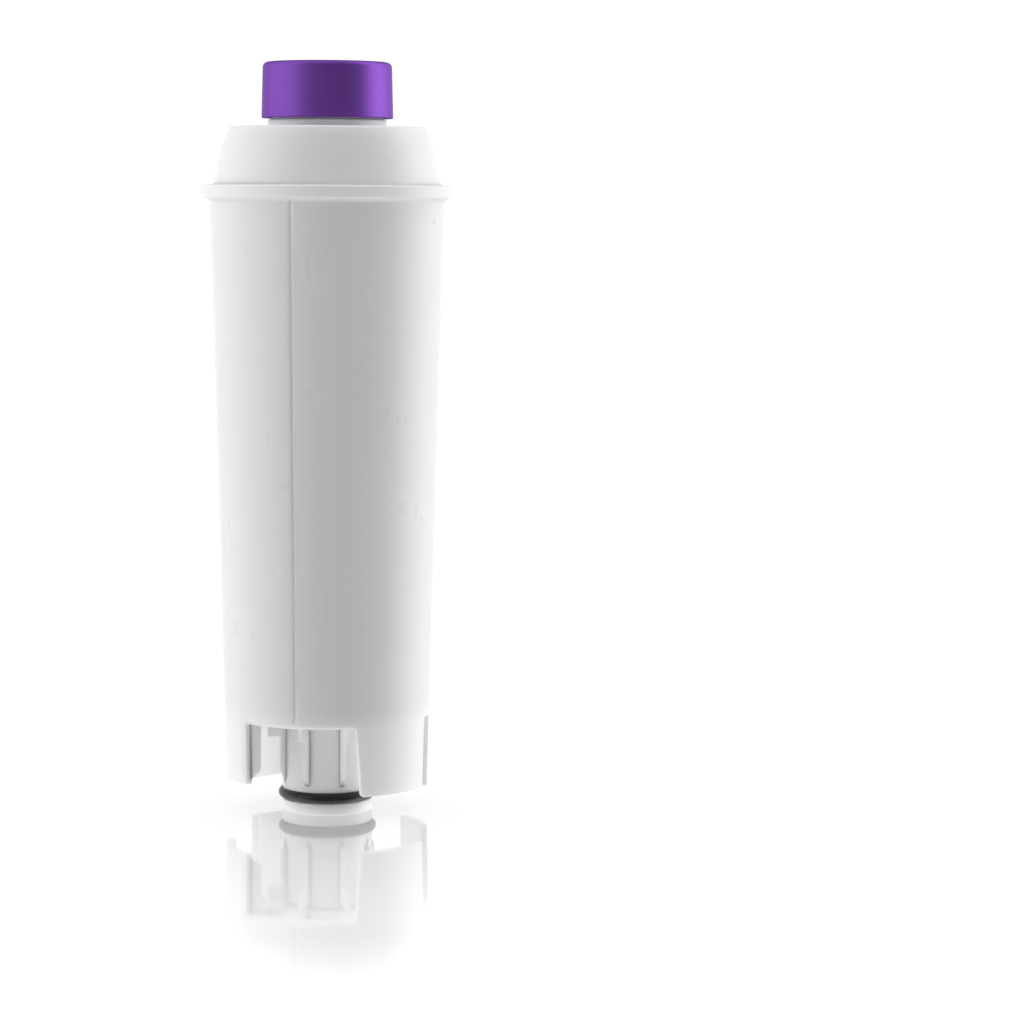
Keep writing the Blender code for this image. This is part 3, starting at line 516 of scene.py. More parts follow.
def skirt_verts(shape, bearing, leg, inset):
    """One column of a leg's wall, from under the barrel down to the leg's foot."""
    start, end, foot_z, flare = LEGS[leg]
    fade = 1.0 - smooth_step((bearing - start) / FLARE_REACH)
    for corner, away in zip(LEG_CORNERS[leg], (bearing - start, end - bearing)):
        along = math.radians(away) * barrel_radius(foot_z)
        if along < corner:
            foot_z += corner - math.sqrt(corner ** 2 - (corner - along) ** 2)
    column = []
    for row in range(1, SKIRT_ROWS + 1):
        z = FLOOR_UNDERSIDE_Z + (foot_z - FLOOR_UNDERSIDE_Z) * row / SKIRT_ROWS
        drop = (FLOOR_UNDERSIDE_Z - z) / (FLOOR_UNDERSIDE_Z - SKIRT_BOTTOM_Z)
        moved = bearing + flare * fade * drop
        column.append(shape.verts.new(at_bearing(barrel_radius(z) - inset, moved, z)))
    return column


def housing_shape():
    """The housing as a grid of columns round the axis, with the skirt's legs and the floor's ports in it."""
    shape = bmesh.new()
    outside, floor_low, socket, floor_high, inside = housing_sections()
    outline = outside + floor_low + socket + floor_high + inside
    roof = len(outside) - 1  # the outer wall's last row, at the floor's underside
    port_low = roof + 2  # the underside's row at the ports' outer radius
    port_high = len(outside) + len(floor_low) + len(socket)  # the top side's row at their inner radius
    bearings = housing_columns()
    columns = []
    for bearing in bearings:
        column = []
        for number, (radius, z) in enumerate(outline):
            reach = shaped(radius, z, bearing) if number <= roof else radius
            column.append(shape.verts.new(at_bearing(reach, bearing, z)))
        columns.append(column)
    skirts = {}
    for number, bearing in enumerate(bearings):
        for leg, (start, end, _, _) in enumerate(LEGS):
            if start <= bearing <= end:
                walls = (skirt_verts(shape, bearing, leg, 0.0), skirt_verts(shape, bearing, leg, WALL))
                skirts[number] = walls
    count = len(bearings)
    for here in range(count):
        there = (here + 1) % count
        middle = (bearings[here] + (bearings[there] - bearings[here]) % 360.0 / 2) % 360.0
        port = in_port(middle)
        for row in range(len(outline)):
            below = (row + 1) % len(outline)
            if row == roof or (port and row in (port_low, port_high)):
                continue
            cell(shape, columns[here], columns[there], row, below)
        if leg_at(middle) is None:
            cell(shape, columns[here], columns[there], roof, roof + 1)
        else:
            add_leg_cell(shape, columns, skirts, here, there, roof)
        if port:
            for low, high in ((port_low, port_high + 1), (port_low + 1, port_high)):
                cell(shape, columns[here], columns[there], low, high)
        before = (middle - (bearings[there] - bearings[here]) % 360.0) % 360.0
        if in_port(before) != port:
            rim = [columns[here][row] for row in (port_low, port_low + 1, port_high, port_high + 1)]
            quad(shape, rim)
        if here in skirts and bearings[here] in [edge for leg in LEGS for edge in leg[:2]]:
            add_leg_side(shape, columns[here], skirts[here], roof)
    return shape


def add_leg_cell(shape, columns, skirts, here, there, roof):
    """One column-wide strip of a leg: outer face, foot and inner face."""
    outer_here = [columns[here][roof]] + skirts[here][0]
    outer_there = [columns[there][roof]] + skirts[there][0]
    inner_here = [columns[here][roof + 1]] + skirts[here][1]
    inner_there = [columns[there][roof + 1]] + skirts[there][1]
    strip_here = outer_here + inner_here[::-1]
    strip_there = outer_there + inner_there[::-1]
    for row in range(len(strip_here) - 1):
        cell(shape, strip_here, strip_there, row, row + 1)


def add_leg_side(shape, column, walls, roof):
    """The face that closes a leg's wall at its edge."""
    outer = [column[roof]] + walls[0]
    inner = [column[roof + 1]] + walls[1]
    for row in range(len(outer) - 1):
        cell(shape, outer, inner, row, row + 1)


def slab(outline, bearing, thickness, offset=0.0):
    """A flat plate standing in the plane of a bearing, with its outline in (radius, height)."""
    shape = bmesh.new()
    turn = Matrix.Rotation(math.radians(bearing), 4, "Z")
    faces = []
    for side in (-0.5, 0.5):
        across = offset + side * thickness
        verts = [shape.verts.new(turn @ Vector((across, -radius, z))) for radius, z in outline]
        faces.append(verts)
        shape.faces.new(verts)
    for i in range(len(outline)):
        j = (i + 1) % len(outline)
        quad(shape, [faces[0][i], faces[0][j], faces[1][j], faces[1][i]])
    bmesh.ops.recalc_face_normals(shape, faces=shape.faces)
    return shape


def key_plate():
    """The inward plate on the front left leg, beside the front opening."""
    high = FLOOR_UNDERSIDE_Z + FLOOR_THICKNESS / 2
    outer = barrel_radius(KEY_PLATE_LOW_Z) - KEY_PLATE_OUTER_INSET
    wall_inside = barrel_radius(KEY_PLATE_LOW_Z) - WALL
    outline = rounded(
        [
            (outer, high),
            (KEY_PLATE_TIP_RADIUS, high),
            (KEY_PLATE_TIP_RADIUS, KEY_PLATE_HIGH_Z, 0.3 * MM),
            (wall_inside, KEY_PLATE_LOW_Z),
            (outer, KEY_PLATE_LOW_Z),
        ]
    )
    shape = slab(outline, LEGS[3][1], KEY_PLATE_THICKNESS, -KEY_PLATE_THICKNESS / 2 - 0.05 * MM)
    soften(shape, MOULD_EDGE)
    return shape


def make_housing(material):
    shape = housing_shape()
    bmesh.ops.recalc_face_normals(shape, faces=shape.faces)
    soften(shape, MOULD_EDGE)
    add_shell(shape, key_plate())
    piece_from("housing_shell", shape, material, "cartridge", "housing")


# ---------------------------------------------------------------- threads, cover and cap

def thread_ridge(root, crest, turns, start_z):
    """A ridge wound round the axis from a wall at root to its crest, with ends that run out into the wall."""
    shape = bmesh.new()
    steps = round(turns * THREAD_STEPS_PER_TURN)
    foot = THREAD_ROOT_WIDTH / 2
    tip = THREAD_CREST_WIDTH / 2
    crest_high = (crest, tip, THREAD_CREST_ROUND)
    crest_low = (crest, -tip, THREAD_CREST_ROUND)
    outline = rounded([(root, foot), crest_high, crest_low, (root, -foot)], steps=3)
    rings = []
    for step in range(steps + 1):
        turned = 360.0 * turns * step / steps
        from_end = min(turned, 360.0 * turns - turned)
        grown = THREAD_END_SHARE + (1.0 - THREAD_END_SHARE) * smooth_step(from_end / THREAD_RUN_OUT)
        z = start_z + THREAD_PITCH * turned / 360.0
        ring = []
        for radius, rise in outline:
            reach = root + (radius - root) * grown
            ring.append(shape.verts.new(at_bearing(reach, THREAD_START_BEARING + turned, z + rise)))
        rings.append(ring)
    for ring, following in zip(rings, rings[1:]):
        for i in range(len(outline)):
            j = (i + 1) % len(outline)
            quad(shape, [ring[i], ring[j], following[j], following[i]])
    shape.faces.new(rings[0])
    shape.faces.new(rings[-1])
    return shape


def make_cover(material):
    """The shouldered cover, which sits on the rim, with its threaded neck and its plug."""
    shape = bmesh.new()
    foot_z = RIM_TOP_Z - COVER_SEAT
    top = (SHOULDER_TOP_RADIUS, SHOULDER_TOP_Z, 0.55 * MM)
    base = (SHOULDER_BASE_RADIUS, foot_z + SHOULDER_FILLET)
    foot = (SHOULDER_BASE_RADIUS + SHOULDER_FILLET, foot_z + 0.03 * MM)
    quarter = (1.0 - math.cos(math.pi / 4)) * SHOULDER_FILLET
    ceiling_z = SHOULDER_TOP_Z - COVER_WALL
    seal_low, seal_high, seal_root = groove_for("cover_seal")
    outline = rounded(
        [
            (NECK_BORE_RADIUS, NECK_TOP_Z, 0.25 * MM),
            (NECK_RADIUS, NECK_TOP_Z, 0.4 * MM),
            (NECK_RADIUS, COLLAR_TOP_Z, 0.25 * MM),
            (COLLAR_RADIUS, COLLAR_TOP_Z, 0.3 * MM),
            (COLLAR_RADIUS, SHOULDER_TOP_Z, 0.4 * MM),
            top,
            *arc(top[:2], base, SHOULDER_BULGE, 12),
            base,
            *arc(base, foot, -quarter, 5),
            foot,
            (foot[0], foot_z),
            (PLUG_RADIUS, foot_z),
            (PLUG_RADIUS, seal_high, 0.1 * MM),
            (seal_root, seal_high, 0.1 * MM),
            (seal_root, seal_low, 0.1 * MM),
            (PLUG_RADIUS, seal_low, 0.1 * MM),
            (PLUG_RADIUS, PLUG_BOTTOM_Z, 0.4 * MM),
            (PLUG_BORE_RADIUS, PLUG_BOTTOM_Z, 0.3 * MM),
            (PLUG_BORE_RADIUS, ceiling_z, 2.0 * MM),
            (NECK_BORE_RADIUS, ceiling_z, 0.4 * MM),
        ]
    )
    lathe(shape, outline, TURNED_STEPS)
    bmesh.ops.recalc_face_normals(shape, faces=shape.faces)
    start_z = COLLAR_TOP_Z + NECK_THREAD_START_Z
    root = NECK_RADIUS - THREAD_ROOT_OVERLAP
    add_shell(shape, thread_ridge(root, NECK_RADIUS + THREAD_DEPTH, NECK_THREAD_TURNS, start_z))
    piece_from("cover_shell", shape, material, "cartridge", "top_cover")


def make_cap(material):
    """The screw cap with its thread and the ribs inside its wall."""
    shape = bmesh.new()
    outline = rounded(
        [
            (0.0, CAP_TOP_Z),
            (CAP_RADIUS - CAP_TAPER, CAP_TOP_Z, CAP_EDGE_ROUND),
            (CAP_RADIUS, CAP_BOTTOM_Z, 0.2 * MM),
            (CAP_INNER_RADIUS, CAP_BOTTOM_Z, 0.15 * MM),
            (CAP_INNER_RADIUS, CAP_CEILING_Z, 0.5 * MM),
            (0.0, CAP_CEILING_Z),
        ],
        steps=8,
    )
    lathe(shape, outline, SMALL_TURNED_STEPS)
    bmesh.ops.recalc_face_normals(shape, faces=shape.faces)
    start_z = COLLAR_TOP_Z + NECK_THREAD_START_Z - THREAD_PITCH / 2
    root = CAP_INNER_RADIUS + THREAD_ROOT_OVERLAP
    add_shell(shape, thread_ridge(root, CAP_INNER_RADIUS - THREAD_DEPTH, CAP_THREAD_TURNS, start_z))
    low = CAP_BOTTOM_Z + 0.4 * MM
    width = math.radians(CAP_RIB_WIDTH) * CAP_INNER_RADIUS
    for quarter in range(4):
        for bearing, high in CAP_RIBS:
            inner = CAP_INNER_RADIUS - CAP_RIB_PROUD
            rib = [(inner, low), (root, low), (root, high), (inner, high)]
            add_shell(shape, slab(rib, bearing + 90.0 * quarter, width))
    piece_from("cap_shell", shape, material, "cap", "screw_cap")


# ---------------------------------------------------------------- spigot and O-ring

def fin():
    """The outline of one fin, with its rounded gusset under the floor and its tapered foot."""
    root = SPIGOT_COLUMN_RADIUS - 0.6 * MM
    gusset_start = (FIN_RADIUS + GUSSET_ROUND, GUSSET_FOOT_Z)
    gusset_end = (FIN_RADIUS, GUSSET_FOOT_Z - GUSSET_ROUND)
    bulge = (1.0 - math.cos(math.pi / 4)) * GUSSET_ROUND
    return [
        (root, FIN_TOP_Z),
        (GUSSET_RADIUS, FIN_TOP_Z),
        (GUSSET_RADIUS, GUSSET_FOOT_Z),
        gusset_start,
        *arc(gusset_start, gusset_end, -bulge, 4),
        gusset_end,
        (FIN_RADIUS, FIN_TIP_Z),
        (SPIGOT_RADIUS, FIN_FOOT_Z),
        (root, FIN_FOOT_Z),
    ]


def groove_for(name):
    """The bottom, top and root radius of the groove that holds a packed O-ring."""
    low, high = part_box(name)
    cord = high.z - low.z
    return low.z - GROOVE_CLEARANCE, high.z + GROOVE_CLEARANCE, high.x - cord - GROOVE_CLEARANCE


def make_spigot(material):
    """The outlet spigot, from its foot to the neck inside the housing's socket."""
    shape = bmesh.new()
    groove_low = o_ring_box[0].z - GROOVE_CLEARANCE
    groove_high = o_ring_box[1].z - GROOVE_CLEARANCE
    seal_low, seal_high, seal_root = groove_for("spigot_seal")
    web_top = VALVE_WEB_Z + VALVE_WEB_THICKNESS
    outline = rounded(
        [
            (TUBE_SOCKET_RADIUS, SPIGOT_TOP_Z, 0.2 * MM),
            (SPIGOT_NECK_RADIUS, SPIGOT_TOP_Z, 0.4 * MM),
            (SPIGOT_NECK_RADIUS, seal_high, 0.1 * MM),
            (seal_root, seal_high, 0.1 * MM),
            (seal_root, seal_low, 0.1 * MM),
            (SPIGOT_NECK_RADIUS, seal_low, 0.1 * MM),
            (SPIGOT_NECK_RADIUS, SPIGOT_SHOULDER_Z, 0.1 * MM),
            (SPIGOT_COLUMN_RADIUS, SPIGOT_SHOULDER_Z, 0.3 * MM),
            (SPIGOT_COLUMN_RADIUS, SPIGOT_LAND_TOP_Z + 1.4 * MM, 6.0 * MM),
            (SPIGOT_RADIUS, SPIGOT_LAND_TOP_Z, 4.0 * MM),
            (SPIGOT_RADIUS, groove_high, 0.3 * MM),
            (O_RING_GROOVE_ROOT, groove_high, 0.2 * MM),
            (O_RING_GROOVE_ROOT, groove_low, 0.2 * MM),
            (SPIGOT_RADIUS, groove_low, 0.25 * MM),
            (SPIGOT_RADIUS, 0.0, 0.15 * MM),
            (SPIGOT_BORE_RADIUS, 0.0, 0.5 * MM),
            (SPIGOT_BORE_RADIUS, VALVE_WEB_Z, 0.2 * MM),
            (VALVE_WEB_HOLE, VALVE_WEB_Z, 0.3 * MM),
            (VALVE_WEB_HOLE, web_top, 0.3 * MM),
            (TUBE_SOCKET_RADIUS, web_top, 0.2 * MM),
        ],
        steps=4,
    )
    lathe(shape, outline, SMALL_TURNED_STEPS)
    bmesh.ops.recalc_face_normals(shape, faces=shape.faces)
    for number in range(FIN_COUNT):
        one = slab(fin(), FIRST_FIN_BEARING + 360.0 * number / FIN_COUNT, FIN_WIDTH)
        soften(one, MOULD_EDGE)
        add_shell(shape, one)
    piece_from("spigot_shell", shape, material, "cartridge", "outlet_spigot")


def make_o_ring(material):
    """The O-ring, seated against the root of its groove."""
    shape = bmesh.new()
    half = (o_ring_box[1].z - o_ring_box[0].z) / 2
    middle = o_ring_box[1].x - half
    middle_z = (o_ring_box[1].z + o_ring_box[0].z) / 2
    outline = []
    for number in range(O_RING_SIDES):
        angle = 2 * math.pi * number / O_RING_SIDES
        outline.append((middle + half * math.cos(angle), middle_z + half * math.sin(angle)))
    lathe(shape, outline, SMALL_TURNED_STEPS)
    bmesh.ops.recalc_face_normals(shape, faces=shape.faces)
    piece_from("o_ring", shape, material, "cartridge", "outlet_o_ring")


# ---------------------------------------------------------------- materials

class Surface:
    """A Principled material and short ways to add nodes to it. Places are in the object's own metres."""

    def __init__(self, name, color, roughness, **constants):
        self.material = bpy.data.materials.new(name)
        self.material.use_nodes = True
        self.nodes = self.material.node_tree.nodes
        self.links = self.material.node_tree.links
        self.shader = self.nodes["Principled BSDF"]
        self.place = self.nodes.new("ShaderNodeTexCoord").outputs["Object"]
        self.shader.inputs["Base Color"].default_value = (*color, 1.0)
        self.shader.inputs["Roughness"].default_value = roughness
        for socket, value in constants.items():
            self.shader.inputs[socket.replace("_", " ")].default_value = value

    def add(self, kind, inputs=None, **settings):
        node = self.nodes.new(kind)
        for name, value in settings.items():
            setattr(node, name, value)
        for name, value in (inputs or {}).items():
            if isinstance(value, bpy.types.NodeSocket):
                self.links.new(value, node.inputs[name])
            else:
                node.inputs[name].default_value = value
        return node

    def noise(self, scale, detail=3.0, place=None, distortion=0.0):
        inputs = {"Vector": place or self.place, "Scale": scale, "Detail": detail, "Distortion": distortion}
        return self.add("ShaderNodeTexNoise", inputs).outputs["Fac"]

    def cells(self, scale, feature="F1", place=None, output="Distance", randomness=1.0):
        inputs = {"Vector": place or self.place, "Scale": scale, "Randomness": randomness}
        return self.add("ShaderNodeTexVoronoi", inputs, feature=feature).outputs[output]

    def stretched(self, x, y, z):
        return self.add("ShaderNodeMapping", {"Vector": self.place, "Scale": (x, y, z)}).outputs["Vector"]

    def span(self, value, low, high, start=0.0, end=1.0):
        inputs = {"Value": value, "From Min": start, "From Max": end, "To Min": low, "To Max": high}
        return self.add("ShaderNodeMapRange", inputs).outputs["Result"]

    def ramp(self, value, stops):
        node = self.add("ShaderNodeValToRGB", {"Fac": value})
        points = node.color_ramp.elements
        while len(points) < len(stops):
            points.new(0.5)
        for point, (position, color) in zip(points, stops):
            point.position = position
            point.color = (*color, 1.0)
        return node.outputs["Color"]

    def math(self, operation, first, second):
        node = self.add("ShaderNodeMath", operation=operation)
        for socket, value in zip(node.inputs, (first, second)):
            if isinstance(value, bpy.types.NodeSocket):
                self.links.new(value, socket)
            else:
                socket.default_value = value
        return node.outputs["Value"]

    def color(self, value):
        self.links.new(value, self.shader.inputs["Base Color"])

    def roughness(self, value):
        self.links.new(value, self.shader.inputs["Roughness"])

    def bump(self, *layers):
        """Stacks (height, distance in metres, strength) layers into the normal."""
        below = None
        for height, distance, strength in layers:
            inputs = {"Height": height, "Distance": distance, "Strength": strength}
            if below is not None:
                inputs["Normal"] = below
            below = self.add("ShaderNodeBump", inputs).outputs["Normal"]
        self.links.new(below, self.shader.inputs["Normal"])


def scatter(surface, weight, radius, scale):
    """Lets light into the surface: how much, how far each colour goes, and the scale in metres."""
    surface.shader.inputs["Subsurface Weight"].default_value = weight
    surface.shader.inputs["Subsurface Radius"].default_value = radius
    surface.shader.inputs["Subsurface Scale"].default_value = scale


def moulded(surface, smooth, rough):
    """The finish of an injection moulding: slow flow waves, and gloss that varies in patches and streaks."""
    flow = surface.noise(1.0, 2.0, place=surface.stretched(60.0, 60.0, 16.0), distortion=0.4)
    patches = surface.noise(110.0, 2.0)
    streaks = surface.noise(1.0, 2.0, place=surface.stretched(420.0, 420.0, 12.0))
    patches = surface.math("MULTIPLY", patches, 0.6)
    streaks = surface.math("MULTIPLY", streaks, 0.4)
    surface.roughness(surface.span(surface.math("ADD", patches, streaks), smooth, rough, 0.3, 0.7))
    surface.bump((flow, 0.08 * MM, 0.3))
    return flow


def white_plastic():
    surface = Surface("white_plastic", (0.92, 0.92, 0.925), 0.3, IOR=1.46)
    flow = moulded(surface, 0.26, 0.36)
    surface.color(surface.ramp(flow, [(0.3, (0.915, 0.917, 0.922)), (0.7, (0.932, 0.932, 0.934))]))
    scatter(surface, 0.7, (1.0, 1.0, 0.97), 2.2 * MM)
    return surface.material


def purple_plastic():
    surface = Surface("purple_plastic", (0.19, 0.068, 0.40), 0.43, IOR=1.46, Metallic=0.80)
    flow = moulded(surface, 0.41, 0.46)
    surface.shader.inputs["Specular Tint"].default_value = (0.62, 0.50, 0.66, 1.0)
    surface.color(surface.ramp(flow, [(0.3, (0.185, 0.066, 0.39)), (0.7, (0.197, 0.071, 0.41))]))
    return surface.material


def black_rubber():
    surface = Surface("black_rubber", (0.006, 0.006, 0.0065), 0.36, IOR=1.45)
    skin = surface.noise(2600.0, 4.0)
    dust = surface.noise(700.0, 5.0)
    surface.color(surface.ramp(dust, [(0.45, (0.004, 0.004, 0.0045)), (0.8, (0.012, 0.012, 0.0125))]))
    surface.roughness(surface.span(dust, 0.24, 0.40, 0.3, 0.7))
    surface.bump((skin, 0.01 * MM, 0.6))
    return surface.material


def natural_plastic():
    surface = Surface("natural_plastic", (0.80, 0.79, 0.75), 0.42, IOR=1.49)
    flow = moulded(surface, 0.36, 0.5)
    surface.color(surface.ramp(flow, [(0.3, (0.76, 0.75, 0.71)), (0.7, (0.82, 0.81, 0.78))]))
    scatter(surface, 0.5, (1.0, 0.95, 0.85), 1.5 * MM)
    return surface.material


def silicone():
    surface = Surface("silicone", (0.72, 0.72, 0.70), 0.5, IOR=1.42)
    bloom = surface.noise(900.0, 4.0)
    surface.color(surface.ramp(bloom, [(0.3, (0.68, 0.68, 0.66)), (0.7, (0.76, 0.76, 0.74))]))
    surface.roughness(surface.span(bloom, 0.42, 0.6, 0.3, 0.7))
    surface.bump((surface.noise(2400.0, 2.0), 0.01 * MM, 0.5))
    scatter(surface, 0.6, (1.0, 1.0, 0.95), 1.0 * MM)
    return surface.material


def fleece():
    """Needled fibre felt: crossing stretched noises read as fibres, over slow tufts."""
    surface = Surface("fleece", (0.84, 0.84, 0.81), 0.95, Sheen_Weight=0.4)
    along = surface.noise(1.0, 6.0, place=surface.stretched(900.0, 5200.0, 2600.0), distortion=1.5)
    across = surface.noise(1.0, 6.0, place=surface.stretched(5200.0, 900.0, 2600.0), distortion=1.5)
    fibres = surface.math("MAXIMUM", along, across)
    tufts = surface.noise(350.0, 3.0)
    surface.color(surface.ramp(fibres, [(0.42, (0.62, 0.62, 0.58)), (0.62, (0.88, 0.88, 0.85))]))
    surface.bump((tufts, 0.3 * MM, 0.5), (fibres, 0.12 * MM, 0.9))
    return surface.material


def screen_mesh():
    """Woven nylon screen: two crossed sets of threads, with the holes between them painted dark as painted
    shade.
    """
    surface = Surface("screen_mesh", (0.80, 0.80, 0.78), 0.5, IOR=1.53)
    threads = []
    for direction in ("X", "Y"):
        inputs = {"Vector": surface.place, "Scale": 520.0, "Distortion": 0.0}
        wave = surface.add("ShaderNodeTexWave", inputs, bands_direction=direction)
        threads.append(wave.outputs["Fac"])
    weave = surface.math("MAXIMUM", threads[0], threads[1])
    # The dark stop of this ramp is painted shade in the holes between the threads.
    surface.color(surface.ramp(weave, [(0.35, (0.10, 0.10, 0.10)), (0.6, (0.84, 0.84, 0.82))]))
    surface.bump((weave, 0.15 * MM, 0.9))
    return surface.material


def resin_beads():
    """Ion-exchange beads, half a millimetre across, from straw to amber."""
    surface = Surface("resin_beads", (0.62, 0.36, 0.12), 0.22, IOR=1.5, Coat_Weight=0.4)
    distance = surface.cells(1900.0)
    tint = surface.cells(1900.0, output="Color")
    dome = surface.span(distance, 1.0, 0.0, 0.0, 0.75)
    straw = (0.80, 0.56, 0.24)
    surface.color(surface.ramp(tint, [(0.1, (0.42, 0.20, 0.05)), (0.5, (0.66, 0.38, 0.12)), (0.9, straw)]))
    surface.bump((dome, 0.35 * MM, 1.0))
    scatter(surface, 0.4, (1.0, 0.6, 0.25), 0.5 * MM)
    return surface.material


def carbon_granules():
    """Crushed activated carbon: angular black grains with dull and bright faces."""
    surface = Surface("carbon_granules", (0.02, 0.02, 0.02), 0.7, IOR=1.6)
    grains = surface.cells(1300.0, output="Color")
    edges = surface.cells(1300.0, feature="DISTANCE_TO_EDGE")
    surface.color(surface.ramp(grains, [(0.2, (0.010, 0.010, 0.010)), (0.8, (0.045, 0.044, 0.042))]))
    surface.roughness(surface.span(grains, 0.35, 0.9))
    surface.bump((surface.span(edges, 0.0, 1.0, 0.0, 0.35), 0.4 * MM, 1.0), (grains, 0.25 * MM, 0.8))
    return surface.material


def spring_steel():
    """Drawn stainless wire with fine lines along it."""
    surface = Surface("spring_steel", (0.62, 0.61, 0.60), 0.22, Metallic=1.0)
    lines = surface.noise(1.0, 3.0, place=surface.stretched(600.0, 600.0, 9000.0))
    surface.roughness(surface.span(lines, 0.16, 0.34, 0.3, 0.7))
    surface.color(surface.ramp(lines, [(0.3, (0.56, 0.55, 0.54)), (0.7, (0.68, 0.67, 0.66))]))
    surface.bump((lines, 0.006 * MM, 0.6))
    return surface.material


def dress_inner_pieces(natural, soft):
    """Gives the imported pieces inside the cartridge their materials."""
    felt = fleece()
    looks = {
        "cover_seal": soft["rubber"],
        "spigot_seal": soft["rubber"],
        "tube_seal": soft["silicone"],
        "cap_seal": soft["silicone"],
        "valve_seat": soft["silicone"],
        "inlet_screen": screen_mesh(),
        "lower_grid": natural,
        "upper_grid": natural,
        "lower_fleece": felt,
        "separator_fleece": felt,
        "upper_fleece": felt,
        "resin_bed": resin_beads(),
        "carbon_bed": carbon_granules(),
        "central_tube": natural,
        "tube_strainer": natural,
        "valve_poppet": natural,
        "valve_cage": natural,
        "valve_spring": spring_steel(),
    }
    for name, material in looks.items():
        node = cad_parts[name]
        for slot in node.material_slots:
            slot.material = material
        node.data.shade_smooth()
        node.data.set_sharp_from_angle(angle=SHARP_ANGLE)


# ---------------------------------------------------------------- stage

def make_floor():
    """A plain white glossy table: a mirror-like skin over a painted glow, which grows away from the
    cartridge, so that it is a painted shadow near it.
    """
    mesh = bpy.data.meshes.new("table")
    half = TABLE_HALF
    corners = [(-half, -half, 0.0), (half, -half, 0.0), (half, half, 0.0), (-half, half, 0.0)]
    mesh.from_pydata(corners, [], [(0, 1, 2, 3)])
    table = bpy.data.objects.new("table", mesh)
    bpy.context.scene.collection.objects.link(table)
    table.visible_diffuse = False
    table.visible_glossy = False
    surface = Surface("table_gloss_painted_glow", (0.24, 0.24, 0.24), 0.05, Metallic=1.0)
    distance = surface.add("ShaderNodeVectorMath", {0: surface.place}, operation="LENGTH").outputs["Value"]
    share = surface.math("DIVIDE", distance, PAINTED_SHADOW_REACH * MM)
    painted_glow = surface.add("ShaderNodeFloatCurve", {"Value": share})
    points = painted_glow.mapping.curves[0].points
    for place, strength in TABLE_PAINTED_GLOW_AND_SHADOW:
        if place in (0.0, PAINTED_SHADOW_REACH):
            points[0 if place == 0.0 else len(points) - 1].location = (place / PAINTED_SHADOW_REACH, strength)
        else:
            points.new(place / PAINTED_SHADOW_REACH, strength)
    painted_glow.mapping.update()
    # The emission is painted light, weaker near the cartridge as a painted shadow.
    surface.shader.inputs["Emission Color"].default_value = (1.0, 1.0, 1.0, 1.0)
    surface.links.new(painted_glow.outputs["Value"], surface.shader.inputs["Emission Strength"])
    mesh.materials.append(surface.material)


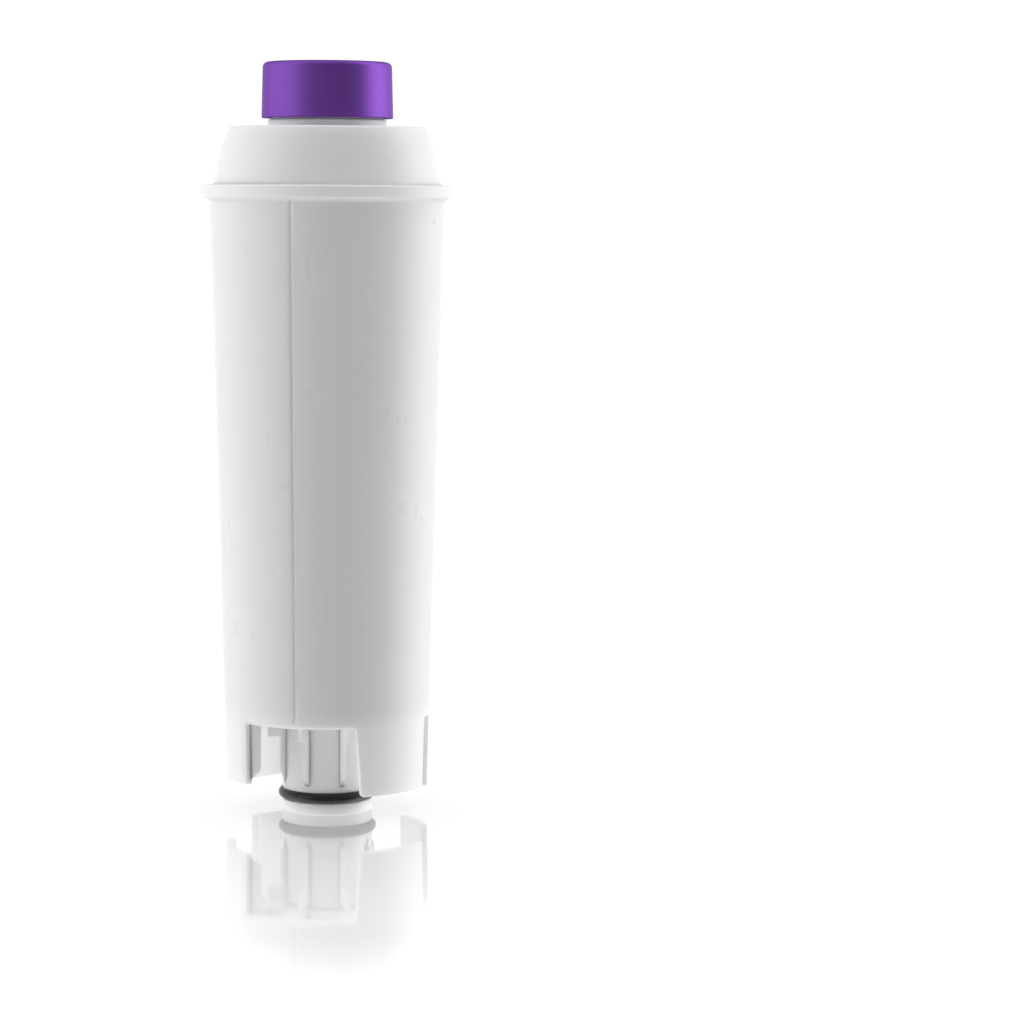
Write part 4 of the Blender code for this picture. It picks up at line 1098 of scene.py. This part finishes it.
def make_light():
    """A white studio round the object: soft boxes at both sides, a bright wall behind, a dim front."""
    world = bpy.data.worlds.new("studio")
    bpy.context.scene.world = world
    world.use_nodes = True
    nodes, links = world.node_tree.nodes, world.node_tree.links
    nodes.clear()
    place = nodes.new("ShaderNodeTexCoord").outputs["Generated"]
    split = nodes.new("ShaderNodeSeparateXYZ")
    links.new(place, split.inputs["Vector"])

    def calculate(operation, first, second=0.0):
        node = nodes.new("ShaderNodeMath")
        node.operation = operation
        for socket, value in zip(node.inputs, (first, second)):
            if isinstance(value, bpy.types.NodeSocket):
                links.new(value, socket)
            else:
                socket.default_value = value
        return node.outputs["Value"]

    def band(value, stops):
        """Radiance along a 0 to 1 value, as a colour ramp of (place, radiance) stops."""
        node = nodes.new("ShaderNodeValToRGB")
        links.new(value, node.inputs["Fac"])
        points = node.color_ramp.elements
        while len(points) < len(stops):
            points.new(0.5)
        for point, (position, radiance) in zip(points, stops):
            point.position = position
            point.color = (radiance, radiance, radiance, 1.0)
        return node.outputs["Color"]

    backwards = calculate("MULTIPLY", split.outputs["Y"], -1.0)
    bearing = calculate("ARCTAN2", split.outputs["X"], backwards)
    around = calculate("ADD", calculate("DIVIDE", bearing, 2 * math.pi), 0.5)
    height = calculate("ABSOLUTE", split.outputs["Z"])
    room = band(around, [(0.5 + degrees / 360.0, radiance) for degrees, radiance in ROOM])
    back = calculate("MULTIPLY", band(around, BACK_WALL_BEARINGS), band(height, BACK_WALL_HEIGHT))
    sides = calculate("ADD", room, calculate("MULTIPLY", back, BACK_WALL))
    above = band(height, CEILING_HEIGHT)
    kept = calculate("MULTIPLY", sides, calculate("SUBTRACT", 1.0, above))
    ceiling = calculate("ADD", kept, calculate("MULTIPLY", above, CEILING))
    below = band(calculate("MULTIPLY", split.outputs["Z"], -1.0), TABLE_LIGHT_DEPTH)
    radiance = calculate("ADD", ceiling, calculate("MULTIPLY", below, TABLE_LIGHT))
    lit = nodes.new("ShaderNodeBackground")
    links.new(radiance, lit.inputs["Color"])
    lit.inputs["Strength"].default_value = ROOM_STRENGTH
    seen = nodes.new("ShaderNodeBackground")
    seen.inputs["Color"].default_value = (1.0, 1.0, 1.0, 1.0)
    seen.inputs["Strength"].default_value = BACKDROP
    mix = nodes.new("ShaderNodeMixShader")
    links.new(nodes.new("ShaderNodeLightPath").outputs["Is Camera Ray"], mix.inputs["Fac"])
    links.new(lit.outputs["Background"], mix.inputs[1])
    links.new(seen.outputs["Background"], mix.inputs[2])
    links.new(mix.outputs["Shader"], nodes.new("ShaderNodeOutputWorld").inputs["Surface"])


def make_camera():
    data = bpy.data.cameras.new("camera")
    data.sensor_width = 36.0
    data.lens = CAMERA_LENS
    data.clip_start = 0.01
    data.clip_end = 50.0
    camera = bpy.data.objects.new("camera", data)
    bpy.context.scene.collection.objects.link(camera)
    turn = Matrix.Rotation(math.radians(-CAMERA_YAW), 4, "Z")
    tilt = Matrix.Rotation(math.radians(90.0 - CAMERA_TILT), 4, "X")
    roll = Matrix.Rotation(math.radians(CAMERA_ROLL), 4, "Z")
    stand = Matrix.Translation((0.0, -CAMERA_DISTANCE, CAMERA_HEIGHT))
    camera.matrix_world = stand @ turn @ tilt @ roll
    bpy.context.scene.camera = camera


def main():
    white = white_plastic()
    rubber = black_rubber()
    make_housing(white)
    make_cover(white)
    make_cap(purple_plastic())
    make_spigot(white)
    make_o_ring(rubber)
    dress_inner_pieces(natural_plastic(), {"rubber": rubber, "silicone": silicone()})
    make_floor()
    make_light()
    make_camera()
    bpy.context.scene.view_settings.view_transform = "Standard"


main()
